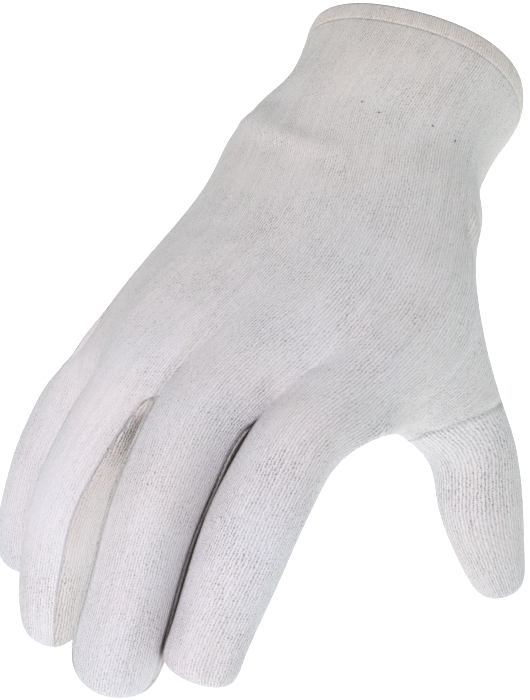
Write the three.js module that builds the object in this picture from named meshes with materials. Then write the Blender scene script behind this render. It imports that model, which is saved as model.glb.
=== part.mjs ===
// A cut and sewn cotton tricot work glove for the right hand, with the form it has when it is worn.
// Millimetres. The origin is the centre of the cuff opening, the fingers point to -Y,
// the back of the hand faces +Z and the thumb is on the +X side.
// Each panel is a hollow wall of knitted cloth, and the seams between panels are small gaps.

import * as THREE from 'three';

// Cloth and seams
const WALL = 1.2;
const SEAM_GAP = 0.3;
const SEAM_BEVEL = 0.4;
const HEM_HEIGHT = 8;
const HEM_PROUD = 0.4;
const HEM_WALL = 2.2;
const FOLD_HEIGHT = 1.2;

// Cuff, wrist and hand
const CUFF_LENGTH = 42;
const CUFF_BREADTH = 71;
const CUFF_DEPTH = 56;
const WRIST_BREADTH = 75;
const WRIST_DEPTH = 53;
const HAND_LENGTH = 118;
const PALM_BREADTH = 90;
const PALM_DEPTH = 44;
const WRIST_BEND = 9.7;
const FINGERS_ASIDE = 11.8;

// Fingers, each measured from its own web to its tip
const INDEX_WIDTH = 23.6;
const INDEX_LENGTH = 73;
const MIDDLE_WIDTH = 25.8;
const MIDDLE_LENGTH = 80;
const RING_WIDTH = 22;
const RING_LENGTH = 80.5;
const LITTLE_WIDTH = 21.4;
const LITTLE_LENGTH = 56;
const FINGER_DEPTH_SHARE = 0.92;
const FINGER_ROUND = 2.1;

// Thumb, measured from inside the ball of the thumb to its tip
const THUMB_LENGTH = 57;
const THUMB_WIDTH = 26;

const COTTON = { color: 0xdedad6, roughness: 0.95, metalness: 0 };
const COTTON_SHADE = { color: 0xd2cdc8, roughness: 0.95, metalness: 0 };

const onCuff = (share) => share * CUFF_LENGTH;
const onHand = (share) => CUFF_LENGTH + share * HAND_LENGTH;

// Sections of the cuff and the hand. along is measured from the rim, bend is the share of the wrist's
// bend reached there, round is the section's exponent (2 is an ellipse), shift moves it to the thumb
// side and ball makes that side fuller, both in shares of the palm's breadth. knuckles says how far its
// points already stand where the fingers start, and webs says the same of the points beside the webs.
const SECTIONS = [
  {
    name: 'rim', along: 0, breadth: 0.97 * CUFF_BREADTH, depth: 0.915 * CUFF_DEPTH,
    bend: 0, round: 2.3, shift: 0, ball: 0, knuckles: 0, webs: 0,
  },
  {
    name: 'hem', along: HEM_HEIGHT, breadth: CUFF_BREADTH, depth: 0.98 * CUFF_DEPTH,
    bend: 0, round: 2.3, shift: 0.018, ball: 0, knuckles: 0, webs: 0,
  },
  {
    name: 'under the hem', along: 2 * HEM_HEIGHT, breadth: 0.945 * CUFF_BREADTH, depth: 1.01 * CUFF_DEPTH,
    bend: 0, round: 2.3, shift: 0.01, ball: 0, knuckles: 0, webs: 0,
  },
  {
    name: 'cuff', along: onCuff(0.6), breadth: 0.93 * CUFF_BREADTH, depth: 1.01 * CUFF_DEPTH,
    bend: 0, round: 2.3, shift: 0.005, ball: 0, knuckles: 0, webs: 0,
  },
  {
    name: 'above the wrist', along: onCuff(0.8), breadth: 0.912 * WRIST_BREADTH, depth: 1.035 * WRIST_DEPTH,
    bend: 0.1, round: 2.4, shift: -0.01, ball: 0, knuckles: 0, webs: 0,
  },
  {
    name: 'wrist', along: onCuff(1), breadth: WRIST_BREADTH, depth: WRIST_DEPTH,
    bend: 0.5, round: 2.2, shift: -0.036, ball: 0.014, knuckles: 0, webs: 0,
  },
  {
    name: 'heel', along: onHand(0.17), breadth: 0.86 * PALM_BREADTH, depth: 1.135 * PALM_DEPTH,
    bend: 0.9, round: 2.3, shift: -0.006, ball: 0.046, knuckles: 0, webs: 0,
  },
  {
    name: 'ball of the thumb', along: onHand(0.36), breadth: 0.92 * PALM_BREADTH, depth: 1.065 * PALM_DEPTH,
    bend: 1, round: 2.3, shift: 0.016, ball: 0.089, knuckles: 0, webs: 0,
  },
  {
    name: 'thumb web', along: onHand(0.58), breadth: PALM_BREADTH, depth: PALM_DEPTH,
    bend: 1, round: 2.3, shift: 0, ball: 0.085, knuckles: 0.25, webs: 0.1,
  },
  {
    name: 'knuckles', along: onHand(0.8), breadth: PALM_BREADTH, depth: 0.87 * PALM_DEPTH,
    bend: 0.9, round: 2.3, shift: 0.02, ball: 0.02, knuckles: 0.7, webs: 0.05,
  },
];
const THUMB_FIRST_SECTION = SECTIONS.findIndex((section) => section.name === 'ball of the thumb');

// The fingers from the little finger to the index finger. web is a share of the hand's length, lift a
// share of the finger's width, bends are its three joints' bends in degrees, widths are its widths at
// the finger rings as shares of its own, splay turns it to the thumb side, and gap is the clearance to
// the next finger. The side panels on the little finger's side, left, and on the other, right, are given
// in degrees round the finger: half is half of what the panel spans, turn is its middle's turn towards
// the palm, and sink is how much further it turns past the web. A panel's own web is the share of its
// half angle that it starts with at the web.
const FINGERS = [
  {
    name: 'little', width: LITTLE_WIDTH, length: LITTLE_LENGTH, web: 0.833, lift: -0.91, bends: [25, 23, 14],
    widths: [1, 1, 0.98, 0.95, 0.92, 0.87, 0.69],
    splay: -5.5, gap: 0.8,
    left: { half: 38, turn: 0, web: 1, sink: 0 }, right: { half: 36, turn: 0, web: 1, sink: 0 },
  },
  {
    name: 'ring', width: RING_WIDTH, length: RING_LENGTH, web: 0.962, lift: 0.155, bends: [33.5, 32, 11],
    widths: [1, 1, 0.98, 0.95, 0.92, 0.88, 0.75],
    splay: -11.5, gap: 0.9,
    left: { half: 28, turn: 0, web: 1, sink: 0 }, right: { half: 54, turn: -8, web: 0.45, sink: 0 },
  },
  {
    name: 'middle', width: MIDDLE_WIDTH, length: MIDDLE_LENGTH, web: 0.989, lift: 0.33,
    bends: [16, 27.5, 3.5],
    widths: [1, 1.01, 0.97, 0.93, 0.94, 0.97, 0.78],
    splay: -0.9, gap: 3,
    left: { half: 20, turn: 0, web: 0.6, sink: 12 }, right: { half: 15, turn: 20, web: 1.2, sink: 22 },
  },
  {
    name: 'index', width: INDEX_WIDTH, length: INDEX_LENGTH, web: 0.944, lift: 0.365, bends: [17.5, 19.5, 2],
    widths: [1, 1.03, 1.04, 0.99, 0.9, 0.85, 0.9],
    splay: -5.4, gap: 0,
    left: { half: 22, turn: 10, web: 1, sink: 0 }, right: { half: 38, turn: 0, web: 1, sink: 0 },
  },
];
const BONES = [0.36, 0.34, 0.3];

// Rings along a finger: the bone it lies on, its share along it, how much of the side panels' angles is
// left there, and how far it still has its panels' shapes at the web.
const FINGER_RINGS = [
  { bone: 0, along: 0, panel: 1, web: 1 },
  { bone: 0, along: 0.5, panel: 0.95, web: 0.4 },
  { bone: 1, along: 0, panel: 0.9, web: 0 },
  { bone: 1, along: 0.5, panel: 0.85, web: 0 },
  { bone: 2, along: 0, panel: 0.8, web: 0 },
  { bone: 2, along: 0.45, panel: 0.74, web: 0 },
  { bone: 2, along: 0.84, panel: 0.68, web: 0 },
];

// Where the thumb starts: a share of the palm's breadth to the side, of the hand's length along it and
// of the palm's depth above its middle.
const THUMB_START = { side: 0.559, along: 0.45, up: -0.886 };

// Rings along the thumb. step is a share of the thumb's length from the ring before, out and down are
// the thumb's direction and turn rolls it about its length, all in degrees. width and depth are shares
// of its width, and web widens the side that faces the index finger.
const THUMB_RINGS = [
  { step: 0, out: 32, down: 33, turn: 45, width: 0.98, depth: 1.04, web: 0.65 },
  { step: 0.16, out: 38, down: 39.5, turn: 39, width: 1.09, depth: 1.01, web: -0.38 },
  { step: 0.178, out: 33, down: 43.5, turn: 37, width: 1.07, depth: 0.915, web: 0 },
  { step: 0.186, out: 32, down: 49.5, turn: 36, width: 0.99, depth: 0.795, web: 0 },
  { step: 0.17, out: 37, down: 55, turn: 36, width: 0.845, depth: 0.71, web: 0 },
  { step: 0.14, out: 40, down: 59, turn: 36, width: 0.69, depth: 0.64, web: 0 },
  { step: 0.096, out: 43, down: 62, turn: 36, width: 0.54, depth: 0.56, web: 0 },
];
const THUMB_TIP_STEP = 0.07;

// Folds and dents of the worn cloth over the wrist and the back of the hand. along is measured from the
// rim, angle goes round the section from the thumb's side over the back, slant turns the fold by so many
// degrees over one breadth of the wrist, length is a share of that breadth, spread is in degrees, and
// rise is a share of the fold height, below zero for a dent.
const FOLDS = [
  {
    name: 'bulge on the little finger side', along: onCuff(1.32), angle: 160, slant: 0,
    length: 0.15, spread: 24, rise: 0.9,
  },
  {
    name: 'crease above that bulge', along: onCuff(1), angle: 158, slant: 0,
    length: 0.06, spread: 30, rise: -0.7,
  },
  {
    name: 'ridge over the wrist', along: onCuff(1.25), angle: 135, slant: -150,
    length: 0.25, spread: 10, rise: 0.5,
  },
  {
    name: 'bulge on the thumb side', along: onCuff(1.22), angle: 0, slant: 0,
    length: 0.1, spread: 30, rise: 1.2,
  },
  {
    name: 'dent below that bulge', along: onHand(0.27), angle: 20, slant: 0,
    length: 0.12, spread: 20, rise: -0.6,
  },
  {
    name: 'dent on the little finger side', along: onHand(0.42), angle: 138, slant: 0,
    length: 0.14, spread: 16, rise: -0.6,
  },
  {
    name: 'tendon of the index finger', along: onHand(0.58), angle: 42, slant: -50,
    length: 0.3, spread: 11, rise: 0.6,
  },
];

const degrees = THREE.MathUtils.degToRad;
const mix = THREE.MathUtils.lerp;

// A control ring is drawn a little larger than the section it stands for, because subdivision shrinks it.
const swell = (points) => 3 / (2 + Math.cos((2 * Math.PI) / points));

// The same for a point between two neighbours that stand at uneven angles.
function swellBetween(before, angle, after) {
  const x = (Math.cos(before) + 4 * Math.cos(angle) + Math.cos(after)) / 6;
  const y = (Math.sin(before) + 4 * Math.sin(angle) + Math.sin(after)) / 6;
  return 1 / Math.hypot(x, y);
}

// A point of a rounded section with the given half sizes.
function sectionPoint(angle, halfBreadth, halfDepth, round) {
  const c = Math.cos(angle);
  const s = Math.sin(angle);
  return {
    side: halfBreadth * Math.sign(c) * Math.abs(c) ** (2 / round),
    up: halfDepth * Math.sign(s) * Math.abs(s) ** (2 / round),
  };
}

// The centre line of the cuff and the hand: it starts along -Y and bends up at the wrist.
function centreLine() {
  const line = [];
  let y = 0;
  let z = 0;
  let last = { along: 0, pitch: 0 };
  for (const section of SECTIONS) {
    const pitch = degrees(WRIST_BEND * section.bend);
    const step = section.along - last.along;
    const mean = (pitch + last.pitch) / 2;
    y -= step * Math.cos(mean);
    z += step * Math.sin(mean);
    line.push({ along: section.along, y, z, pitch });
    last = { along: section.along, pitch };
  }
  return line;
}

function onLine(line, along) {
  for (let i = 1; i < line.length; i += 1) {
    const a = line[i - 1];
    const b = line[i];
    if (along <= b.along) {
      const t = (along - a.along) / (b.along - a.along);
      return { y: mix(a.y, b.y, t), z: mix(a.z, b.z, t), pitch: mix(a.pitch, b.pitch, t) };
    }
  }
  const end = line[line.length - 1];
  const rest = along - end.along;
  return { y: end.y - rest * Math.cos(end.pitch), z: end.z + rest * Math.sin(end.pitch), pitch: end.pitch };
}

function place(frame, side, up) {
  return new THREE.Vector3(
    side,
    frame.y + up * Math.sin(frame.pitch),
    frame.z + up * Math.cos(frame.pitch),
  );
}

function heightOver(frame, point) {
  return (point.y - frame.y) * Math.sin(frame.pitch) + (point.z - frame.z) * Math.cos(frame.pitch);
}

// The control cage: points, and four-sided faces that name their panel.
class Cage {
  constructor() {
    this.points = [];
    this.faces = [];
  }

  point(p) {
    this.points.push(p);
    return this.points.length - 1;
  }

  face(a, b, c, d, panel) {
    this.faces.push({ corners: [d, c, b, a], panel });
  }
}

// The points of a finger's ring, from its little-finger side over the back to the thumb side.
const RING_KEYS = ['left', 'back0', 'back1', 'back2', 'right', 'palm2', 'palm1', 'palm0'];
const RING_COUNT = RING_KEYS.length;

// A section of the hand has three points over its back and three over its palm for each finger, and one
// point on each side.
const ACROSS = 3 * FINGERS.length;
const SECTION_COUNT = 2 * ACROSS + 2;

// The angles of those points. Each side panel spans twice its half angle, round a middle that may be
// turned towards the palm, and the back and the palm each have a point halfway between their seams.
function ringAngles(finger, row) {
  const turn = (side) => degrees((side.turn + side.sink * (1 - row.web)) * row.panel);
  const half = (side) => degrees(side.half * row.panel * mix(1, side.web, row.web));
  const left = Math.PI + turn(finger.left);
  const right = -turn(finger.right);
  const leftHalf = half(finger.left);
  const rightHalf = half(finger.right);
  const back0 = left - leftHalf;
  const back2 = right + rightHalf;
  const palm2 = right - rightHalf;
  const palm0 = left + leftHalf - 2 * Math.PI;
  return [left, back0, (back0 + back2) / 2, back2, right, palm2, (palm2 + palm0) / 2, palm0];
}

function fingerRings(cage, finger, centre, line) {
  const frame = onLine(line, onHand(finger.web));
  const yaw = degrees(finger.splay);
  const side = new THREE.Vector3(Math.cos(yaw), Math.sin(yaw), 0);
  const forward = (pitch) => new THREE.Vector3(
    Math.sin(yaw) * Math.cos(pitch),
    -Math.cos(yaw) * Math.cos(pitch),
    Math.sin(pitch),
  );
  const upward = (pitch) => new THREE.Vector3(
    -Math.sin(yaw) * Math.sin(pitch),
    Math.cos(yaw) * Math.sin(pitch),
    Math.cos(pitch),
  );
  const pitches = [];
  let pitch = frame.pitch;
  for (const bend of finger.bends) {
    pitch -= degrees(bend);
    pitches.push(pitch);
  }
  const joints = [place(frame, centre, finger.lift * finger.width)];
  BONES.forEach((share, i) => {
    joints.push(joints[i].clone().addScaledVector(forward(pitches[i]), share * finger.length));
  });
  const rings = FINGER_RINGS.map((row, j) => {
    const middle = joints[row.bone].clone().lerp(joints[row.bone + 1], row.along);
    const pitchBefore = row.bone ? pitches[row.bone - 1] : frame.pitch;
    const tilt = row.along ? pitches[row.bone] : (pitches[row.bone] + pitchBefore) / 2;
    const angles = ringAngles(finger, row);
    const ring = {};
    RING_KEYS.forEach((key, i) => {
      const before = angles[(i + RING_COUNT - 1) % RING_COUNT];
      const after = angles[(i + 1) % RING_COUNT];
      const half = (finger.width * finger.widths[j] * swellBetween(before, angles[i], after)) / 2;
      const at = sectionPoint(angles[i], half, half * FINGER_DEPTH_SHARE, FINGER_ROUND);
      const point = middle.clone().addScaledVector(side, at.side).addScaledVector(upward(tilt), at.up);
      ring[key] = cage.point(point);
    });
    return ring;
  });
  return { rings, tip: cage.point(joints[3]) };
}

const FORKS = ['fourchette_ring_little', 'fourchette_middle_ring', 'fourchette_index_middle'];

function buildCage() {
  const cage = new Cage();
  const line = centreLine();

  // Fingers, side by side from their widths and gaps.
  const total = FINGERS.reduce((sum, f) => sum + f.width + f.gap, 0);
  let x = -FINGERS_ASIDE - total / 2;
  const fingers = FINGERS.map((finger) => {
    const made = fingerRings(cage, finger, x + finger.width / 2, line);
    x += finger.width + finger.gap;
    return { ...made, frame: onLine(line, onHand(finger.web)) };
  });

  // Sections of the cuff and the hand.
  const backTargets = fingers.flatMap((f) => ['back0', 'back1', 'back2'].map((k) => f.rings[0][k]));
  const palmTargets = fingers.flatMap((f) => ['palm0', 'palm1', 'palm2'].map((k) => f.rings[0][k]));
  const rows = SECTIONS.map((section, i) => {
    const frame = line[i];
    const half = (section.breadth * swell(SECTION_COUNT)) / 2;
    const halfDepth = (section.depth * swell(SECTION_COUNT)) / 2;
    const shift = section.shift * PALM_BREADTH;
    const ball = section.ball * PALM_BREADTH;
    const row = { back: [], palm: [] };
    for (let column = 0; column < ACROSS; column += 1) {
      const angle = Math.PI * (1 - (column + 1) / (ACROSS + 1));
      const at = sectionPoint(angle, half, halfDepth, section.round);
      const fingerFrame = fingers[Math.floor(column / 3)].frame;
      const besideWeb = column > 0 && column < ACROSS - 1 && column % 3 !== 1;
      const sunk = besideWeb ? section.webs : section.knuckles;
      for (const [list, target, sign] of [[row.back, backTargets, 1], [row.palm, palmTargets, -1]]) {
        const goal = cage.points[target[column]];
        const out = ball * Math.max(at.side / half, 0) ** 2;
        const side = mix(at.side + out + shift, goal.x, section.knuckles);
        const up = mix(sign * at.up, heightOver(fingerFrame, goal), sunk);
        list.push(cage.point(place(frame, side, up)));
      }
    }
    row.left = cage.point(place(frame, shift - half, 0));
    row.right = cage.point(place(frame, shift + half + ball, 0));
    return row;
  });
  const loops = rows.map((row) => [row.left, ...row.back, row.right, ...row.palm.slice().reverse()]);
  const count = loops[0].length;
  const thumbLast = THUMB_FIRST_SECTION + 2;
  for (let j = 0; j + 1 < loops.length; j += 1) {
    for (let i = 0; i < count; i += 1) {
      const next = (i + 1) % count;
      const atThumbSide = i === ACROSS || i === ACROSS + 1;
      const inThumbHole = j >= THUMB_FIRST_SECTION && j < thumbLast && atThumbSide;
      if (!inThumbHole) {
        const panel = j === 0 ? 'cuff_hem' : 'hand_body';
        cage.face(loops[j][i], loops[j][next], loops[j + 1][next], loops[j + 1][i], panel);
      }
    }
  }

  // From the knuckles to the first ring of each finger.
  const start = [fingers[0].rings[0].left];
  for (const f of fingers) start.push(f.rings[0].back0, f.rings[0].back1, f.rings[0].back2);
  start.push(fingers[3].rings[0].right);
  for (const f of fingers.slice().reverse()) start.push(f.rings[0].palm2, f.rings[0].palm1, f.rings[0].palm0);
  const lastLoop = loops[loops.length - 1];
  for (let i = 0; i < count; i += 1) {
    const next = (i + 1) % count;
    cage.face(lastLoop[i], lastLoop[next], start[next], start[i], 'hand_body');
  }

  // Webs between the fingers, which belong to the side panels.
  FORKS.forEach((fork, i) => {
    const a = fingers[i].rings[0];
    const b = fingers[i + 1].rings[0];
    cage.face(a.back2, b.back0, b.left, a.right, fork);
    cage.face(a.right, b.left, b.palm0, a.palm2, fork);
  });

  // The fingers themselves: backs and palms belong to the hand, facing sides to the side panels.
  fingers.forEach(({ rings, tip }, number) => {
    const leftPanel = number > 0 ? FORKS[number - 1] : 'hand_body';
    const rightPanel = number < 3 ? FORKS[number] : 'hand_body';
    const panelOf = { left: leftPanel, palm0: leftPanel, back2: rightPanel, right: rightPanel };
    for (let j = 0; j + 1 < rings.length; j += 1) {
      RING_KEYS.forEach((key, i) => {
        const next = RING_KEYS[(i + 1) % RING_COUNT];
        const panel = panelOf[key] ?? 'hand_body';
        cage.face(rings[j][key], rings[j][next], rings[j + 1][next], rings[j + 1][key], panel);
      });
    }
    const end = rings[rings.length - 1];
    for (let i = 0; i < RING_COUNT; i += 2) {
      const keys = [RING_KEYS[i], RING_KEYS[i + 1], RING_KEYS[(i + 2) % RING_COUNT]];
      cage.face(end[keys[0]], end[keys[1]], end[keys[2]], tip, 'hand_body');
    }
  });

  buildThumb(cage, rows, line);
  return cage;
}

// The thumb starts from the eight points round the opening left for it.
function buildThumb(cage, rows, line) {
  const [first, middle, last] = [0, 1, 2].map((i) => rows[THUMB_FIRST_SECTION + i]);
  const outer = ACROSS - 1;
  let ring = [
    middle.back[outer], last.back[outer], last.right, last.palm[outer],
    middle.palm[outer], first.palm[outer], first.right, first.back[outer],
  ];
  const count = ring.length;
  const frame = onLine(line, onHand(THUMB_START.along));
  const centre = place(frame, THUMB_START.side * PALM_BREADTH, THUMB_START.up * PALM_DEPTH);
  const along = new THREE.Vector3();
  const back = new THREE.Vector3();
  const inner = new THREE.Vector3();
  THUMB_RINGS.forEach((row, number) => {
    const out = degrees(row.out);
    const down = degrees(row.down);
    const turn = degrees(row.turn);
    along.set(Math.sin(out) * Math.cos(down), -Math.cos(out) * Math.cos(down), -Math.sin(down));
    centre.addScaledVector(along, row.step * THUMB_LENGTH);
    back.set(0, 0, 1).addScaledVector(along, -along.z).normalize();
    inner.crossVectors(along, back);
    back.multiplyScalar(Math.cos(turn)).addScaledVector(inner, -Math.sin(turn));
    inner.crossVectors(along, back);
    const size = (THUMB_WIDTH * swell(count)) / 2;
    const next = ring.map((_, i) => {
      const angle = (2 * Math.PI * i) / count;
      const width = row.width + (Math.sin(angle) > 0 ? row.web : 0);
      const point = centre.clone()
        .addScaledVector(back, Math.cos(angle) * row.depth * size)
        .addScaledVector(inner, Math.sin(angle) * width * size);
      return cage.point(point);
    });
    const panel = number === 0 ? 'hand_body' : 'thumb';
    for (let i = 0; i < count; i += 1) {
      const after = (i + 1) % count;
      cage.face(ring[i], next[i], next[after], ring[after], panel);
    }
    ring = next;
  });
  const tip = cage.point(centre.clone().addScaledVector(along, THUMB_TIP_STEP * THUMB_LENGTH));
  for (let i = 0; i < count; i += 2) {
    cage.face(ring[(i + count - 1) % count], tip, ring[i + 1], ring[i], 'thumb');
  }
}

// One step of Catmull-Clark subdivision.
function subdivide({ points, faces }) {
  const edges = new Map();
  const touching = points.map(() => ({
    faceSum: new THREE.Vector3(),
    faces: 0,
    edgeSum: new THREE.Vector3(),
    edges: 0,
    rim: [],
  }));
  const facePoints = faces.map(({ corners }) => {
    const centre = new THREE.Vector3();
    for (const c of corners) centre.addScaledVector(points[c], 0.25);
    for (const c of corners) {
      touching[c].faceSum.add(centre);
      touching[c].faces += 1;
    }
    return centre;
  });
  const edgeOf = (a, b) => edges.get(a < b ? `${a},${b}` : `${b},${a}`);
  faces.forEach(({ corners }, f) => {
    corners.forEach((a, i) => {
      const b = corners[(i + 1) % 4];
      const key = a < b ? `${a},${b}` : `${b},${a}`;
      if (!edges.has(key)) edges.set(key, { ends: [a, b], faces: [] });
      edges.get(key).faces.push(f);
    });
  });
  const made = [];
  for (const edge of edges.values()) {
    const [a, b] = edge.ends;
    const middle = points[a].clone().add(points[b]).multiplyScalar(0.5);
    for (const end of edge.ends) {
      touching[end].edgeSum.add(middle);
      touching[end].edges += 1;
    }
    edge.point = middle.clone();
    if (edge.faces.length === 2) {
      const [one, other] = edge.faces;
      edge.point.multiplyScalar(2).add(facePoints[one]).add(facePoints[other]).multiplyScalar(1 / 4);
    } else {
      touching[a].rim.push(points[b]);
      touching[b].rim.push(points[a]);
    }
    edge.index = points.length + facePoints.length + made.length;
    made.push(edge.point);
  }
  const moved = points.map((p, i) => {
    const t = touching[i];
    if (t.faces === 0) return p.clone();
    if (t.rim.length === 2) {
      return p.clone().multiplyScalar(6).add(t.rim[0]).add(t.rim[1]).multiplyScalar(1 / 8);
    }
    const n = t.edges;
    return t.faceSum.clone().multiplyScalar(1 / t.faces)
      .addScaledVector(t.edgeSum, 2 / n)
      .addScaledVector(p, n - 3)
      .multiplyScalar(1 / n);
  });
  const fine = [];
  faces.forEach(({ corners, panel }, f) => {
    corners.forEach((c, i) => {
      const after = edgeOf(c, corners[(i + 1) % 4]).index;
      const before = edgeOf(corners[(i + 3) % 4], c).index;
      fine.push({ corners: [c, after, points.length + f, before], panel });
    });
  });
  return { points: [...moved, ...facePoints, ...made], faces: fine };
}

// Moves each point of a subdivided mesh to where endless subdivision would take it.
function settle({ points, faces }) {
  const sums = points.map(() => ({
    near: new THREE.Vector3(),
    across: new THREE.Vector3(),
    count: 0,
    rim: new THREE.Vector3(),
    rims: 0,
  }));
  const seen = new Map();
  for (const { corners } of faces) {
    corners.forEach((a, i) => {
      const b = corners[(i + 1) % 4];
      const key = a < b ? `${a},${b}` : `${b},${a}`;
      seen.set(key, { ends: [a, b], uses: (seen.get(key)?.uses ?? 0) + 1 });
      sums[a].across.add(points[corners[(i + 2) % 4]]);
    });
  }
  for (const { ends: [a, b], uses } of seen.values()) {
    for (const [from, to] of [[a, b], [b, a]]) {
      sums[from].near.add(points[to]);
      sums[from].count += 1;
      if (uses === 1) {
        sums[from].rim.add(points[to]);
        sums[from].rims += 1;
      }
    }
  }
  return points.map((p, i) => {
    const { near, across, count, rim, rims } = sums[i];
    if (count === 0) return p.clone();
    if (rims > 0) return p.clone().multiplyScalar(4).add(rim).multiplyScalar(1 / 6);
    return p.clone().multiplyScalar(count * count).addScaledVector(near, 4).add(across)
      .multiplyScalar(1 / (count * (count + 5)));
  });
}

function pointNormals(points, faces) {
  const normals = points.map(() => new THREE.Vector3());
  const a = new THREE.Vector3();
  const b = new THREE.Vector3();
  for (const { corners } of faces) {
    a.subVectors(points[corners[2]], points[corners[0]]);
    b.subVectors(points[corners[3]], points[corners[1]]);
    a.cross(b);
    for (const c of corners) normals[c].add(a);
  }
  return normals.map((n) => n.normalize());
}

// A panel as a closed wall: its outer and inner faces, and a cut edge all round, drawn back from the
// seam by half the seam's gap, and a little more inside so that walls don't meet in a tight web.
function panelGeometry(points, normals, faces, proud, wall) {
  const edges = new Map();
  for (const { corners } of faces) {
    corners.forEach((a, i) => edges.set(`${a},${corners[(i + 1) % 4]}`, [a, corners[(i + 1) % 4]]));
  }
  const cut = [...edges.values()].filter(([a, b]) => !edges.has(`${b},${a}`));
  const pull = new Map();
  for (const [a, b] of cut) {
    const run = points[b].clone().sub(points[a]).normalize();
    for (const end of [a, b]) {
      if (!pull.has(end)) pull.set(end, new THREE.Vector3());
      pull.get(end).add(normals[end].clone().cross(run));
    }
  }
  const index = new Map();
  const outer = [];
  const inner = [];
  const cornerOf = (c) => {
    if (!index.has(c)) {
      index.set(c, outer.length);
      const top = points[c].clone().addScaledVector(normals[c], proud);
      const bottom = points[c].clone().addScaledVector(normals[c], proud - wall);
      if (pull.has(c)) {
        const back = pull.get(c).normalize();
        top.addScaledVector(back, SEAM_GAP / 2);
        bottom.addScaledVector(back, SEAM_GAP / 2 + SEAM_BEVEL);
      }
      outer.push(top);
      inner.push(bottom);
    }
    return index.get(c);
  };
  const triangles = [];
  const quads = faces.map(({ corners }) => corners.map(cornerOf));
  const n = outer.length;
  for (const [a, b, c, d] of quads) {
    triangles.push(a, b, c, a, c, d);
    triangles.push(n + a, n + c, n + b, n + a, n + d, n + c);
  }
  for (const [from, to] of cut) {
    const a = cornerOf(from);
    const b = cornerOf(to);
    triangles.push(a, n + a, b, b, n + a, n + b);
  }
  const geometry = new THREE.BufferGeometry().setFromPoints([...outer, ...inner]);
  geometry.setIndex(triangles);
  geometry.computeVertexNormals();
  return geometry;
}

// How far the folds raise a point of the surface.
function foldHeight(point, line) {
  const frame = onLine(line, -point.y);
  const angle = THREE.MathUtils.radToDeg(Math.atan2(heightOver(frame, point), point.x));
  let height = 0;
  for (const fold of FOLDS) {
    const past = -point.y - fold.along;
    const turned = angle - fold.angle - (fold.slant * past) / WRIST_BREADTH;
    const turn = turned - 360 * Math.round(turned / 360);
    const away = (past / (fold.length * WRIST_BREADTH)) ** 2 + (turn / fold.spread) ** 2;
    height += fold.rise * FOLD_HEIGHT * Math.exp(-away);
  }
  return height;
}

const smooth = subdivide(buildCage());
const settled = settle(smooth);
const flat = pointNormals(settled, smooth.faces);
const handLine = centreLine();
const points = settled.map((p, i) => p.clone().addScaledVector(flat[i], foldHeight(p, handLine)));
const normals = pointNormals(points, smooth.faces);

const PANELS = [
  { name: 'hand_body', finish: COTTON, proud: 0, wall: WALL },
  { name: 'thumb', finish: COTTON, proud: 0, wall: WALL },
  ...FORKS.map((name) => ({ name, finish: COTTON_SHADE, proud: 0, wall: WALL })),
  { name: 'cuff_hem', finish: COTTON, proud: HEM_PROUD, wall: HEM_WALL },
];

const glove = new THREE.Group();
glove.name = 'cotton_glove';
for (const { name, finish, proud, wall } of PANELS) {
  const faces = smooth.faces.filter((face) => face.panel === name);
  const mesh = new THREE.Mesh(
    panelGeometry(points, normals, faces, proud, wall),
    new THREE.MeshStandardMaterial(finish),
  );
  mesh.name = name;
  glove.add(mesh);
}

export default glove;
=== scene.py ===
"""A right-hand cotton tricot work glove, cut and sewn, in the form it has when it is worn."""

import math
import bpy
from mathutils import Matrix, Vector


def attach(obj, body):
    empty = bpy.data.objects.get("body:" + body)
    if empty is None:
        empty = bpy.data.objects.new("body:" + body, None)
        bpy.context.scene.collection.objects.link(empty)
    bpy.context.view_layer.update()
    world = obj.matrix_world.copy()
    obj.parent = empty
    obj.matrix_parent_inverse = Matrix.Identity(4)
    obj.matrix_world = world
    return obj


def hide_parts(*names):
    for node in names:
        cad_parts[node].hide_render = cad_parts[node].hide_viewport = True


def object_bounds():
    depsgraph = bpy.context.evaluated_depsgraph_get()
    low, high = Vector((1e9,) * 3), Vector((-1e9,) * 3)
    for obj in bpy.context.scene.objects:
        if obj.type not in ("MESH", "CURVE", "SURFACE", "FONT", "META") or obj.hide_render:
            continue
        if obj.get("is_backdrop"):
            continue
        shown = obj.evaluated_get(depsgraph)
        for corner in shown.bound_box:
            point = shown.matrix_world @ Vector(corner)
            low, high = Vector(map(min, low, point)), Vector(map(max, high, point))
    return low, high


bl_info = {
    "name": "Cotton Glove Maker",
    "version": (1, 0, 0),
    "blender": (4, 5, 0),
    "location": "View3D > Sidebar > Glove",
    "description": "Makes the sewn panels, seams and studio of a cotton tricot glove",
    "category": "Add Mesh",
}

from collections import namedtuple
from functools import cache

import bpy
import numpy as np
from mathutils import Matrix, Vector
from mathutils.bvhtree import BVHTree

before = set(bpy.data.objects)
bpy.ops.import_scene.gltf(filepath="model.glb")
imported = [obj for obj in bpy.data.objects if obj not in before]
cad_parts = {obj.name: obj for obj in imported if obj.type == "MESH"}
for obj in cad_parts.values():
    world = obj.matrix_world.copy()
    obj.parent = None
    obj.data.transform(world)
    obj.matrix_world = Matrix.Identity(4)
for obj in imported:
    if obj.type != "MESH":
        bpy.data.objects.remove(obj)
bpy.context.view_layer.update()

MM = 0.001

# The glove's own sizes in millimetres, the same as its solids have.
HEM_HEIGHT = 8
FOLD_HEIGHT = 1.2
CUFF_LENGTH = 42
CUFF_BREADTH = 71
CUFF_DEPTH = 56
WRIST_BREADTH = 75
WRIST_DEPTH = 53
HAND_LENGTH = 118
PALM_BREADTH = 90
PALM_DEPTH = 44
WRIST_BEND = 9.7
FINGERS_ASIDE = 11.8
FINGER_DEPTH_SHARE = 0.92
FINGER_ROUND = 2.1
THUMB_LENGTH = 57
THUMB_WIDTH = 26


def on_cuff(share):
    return share * CUFF_LENGTH


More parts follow.
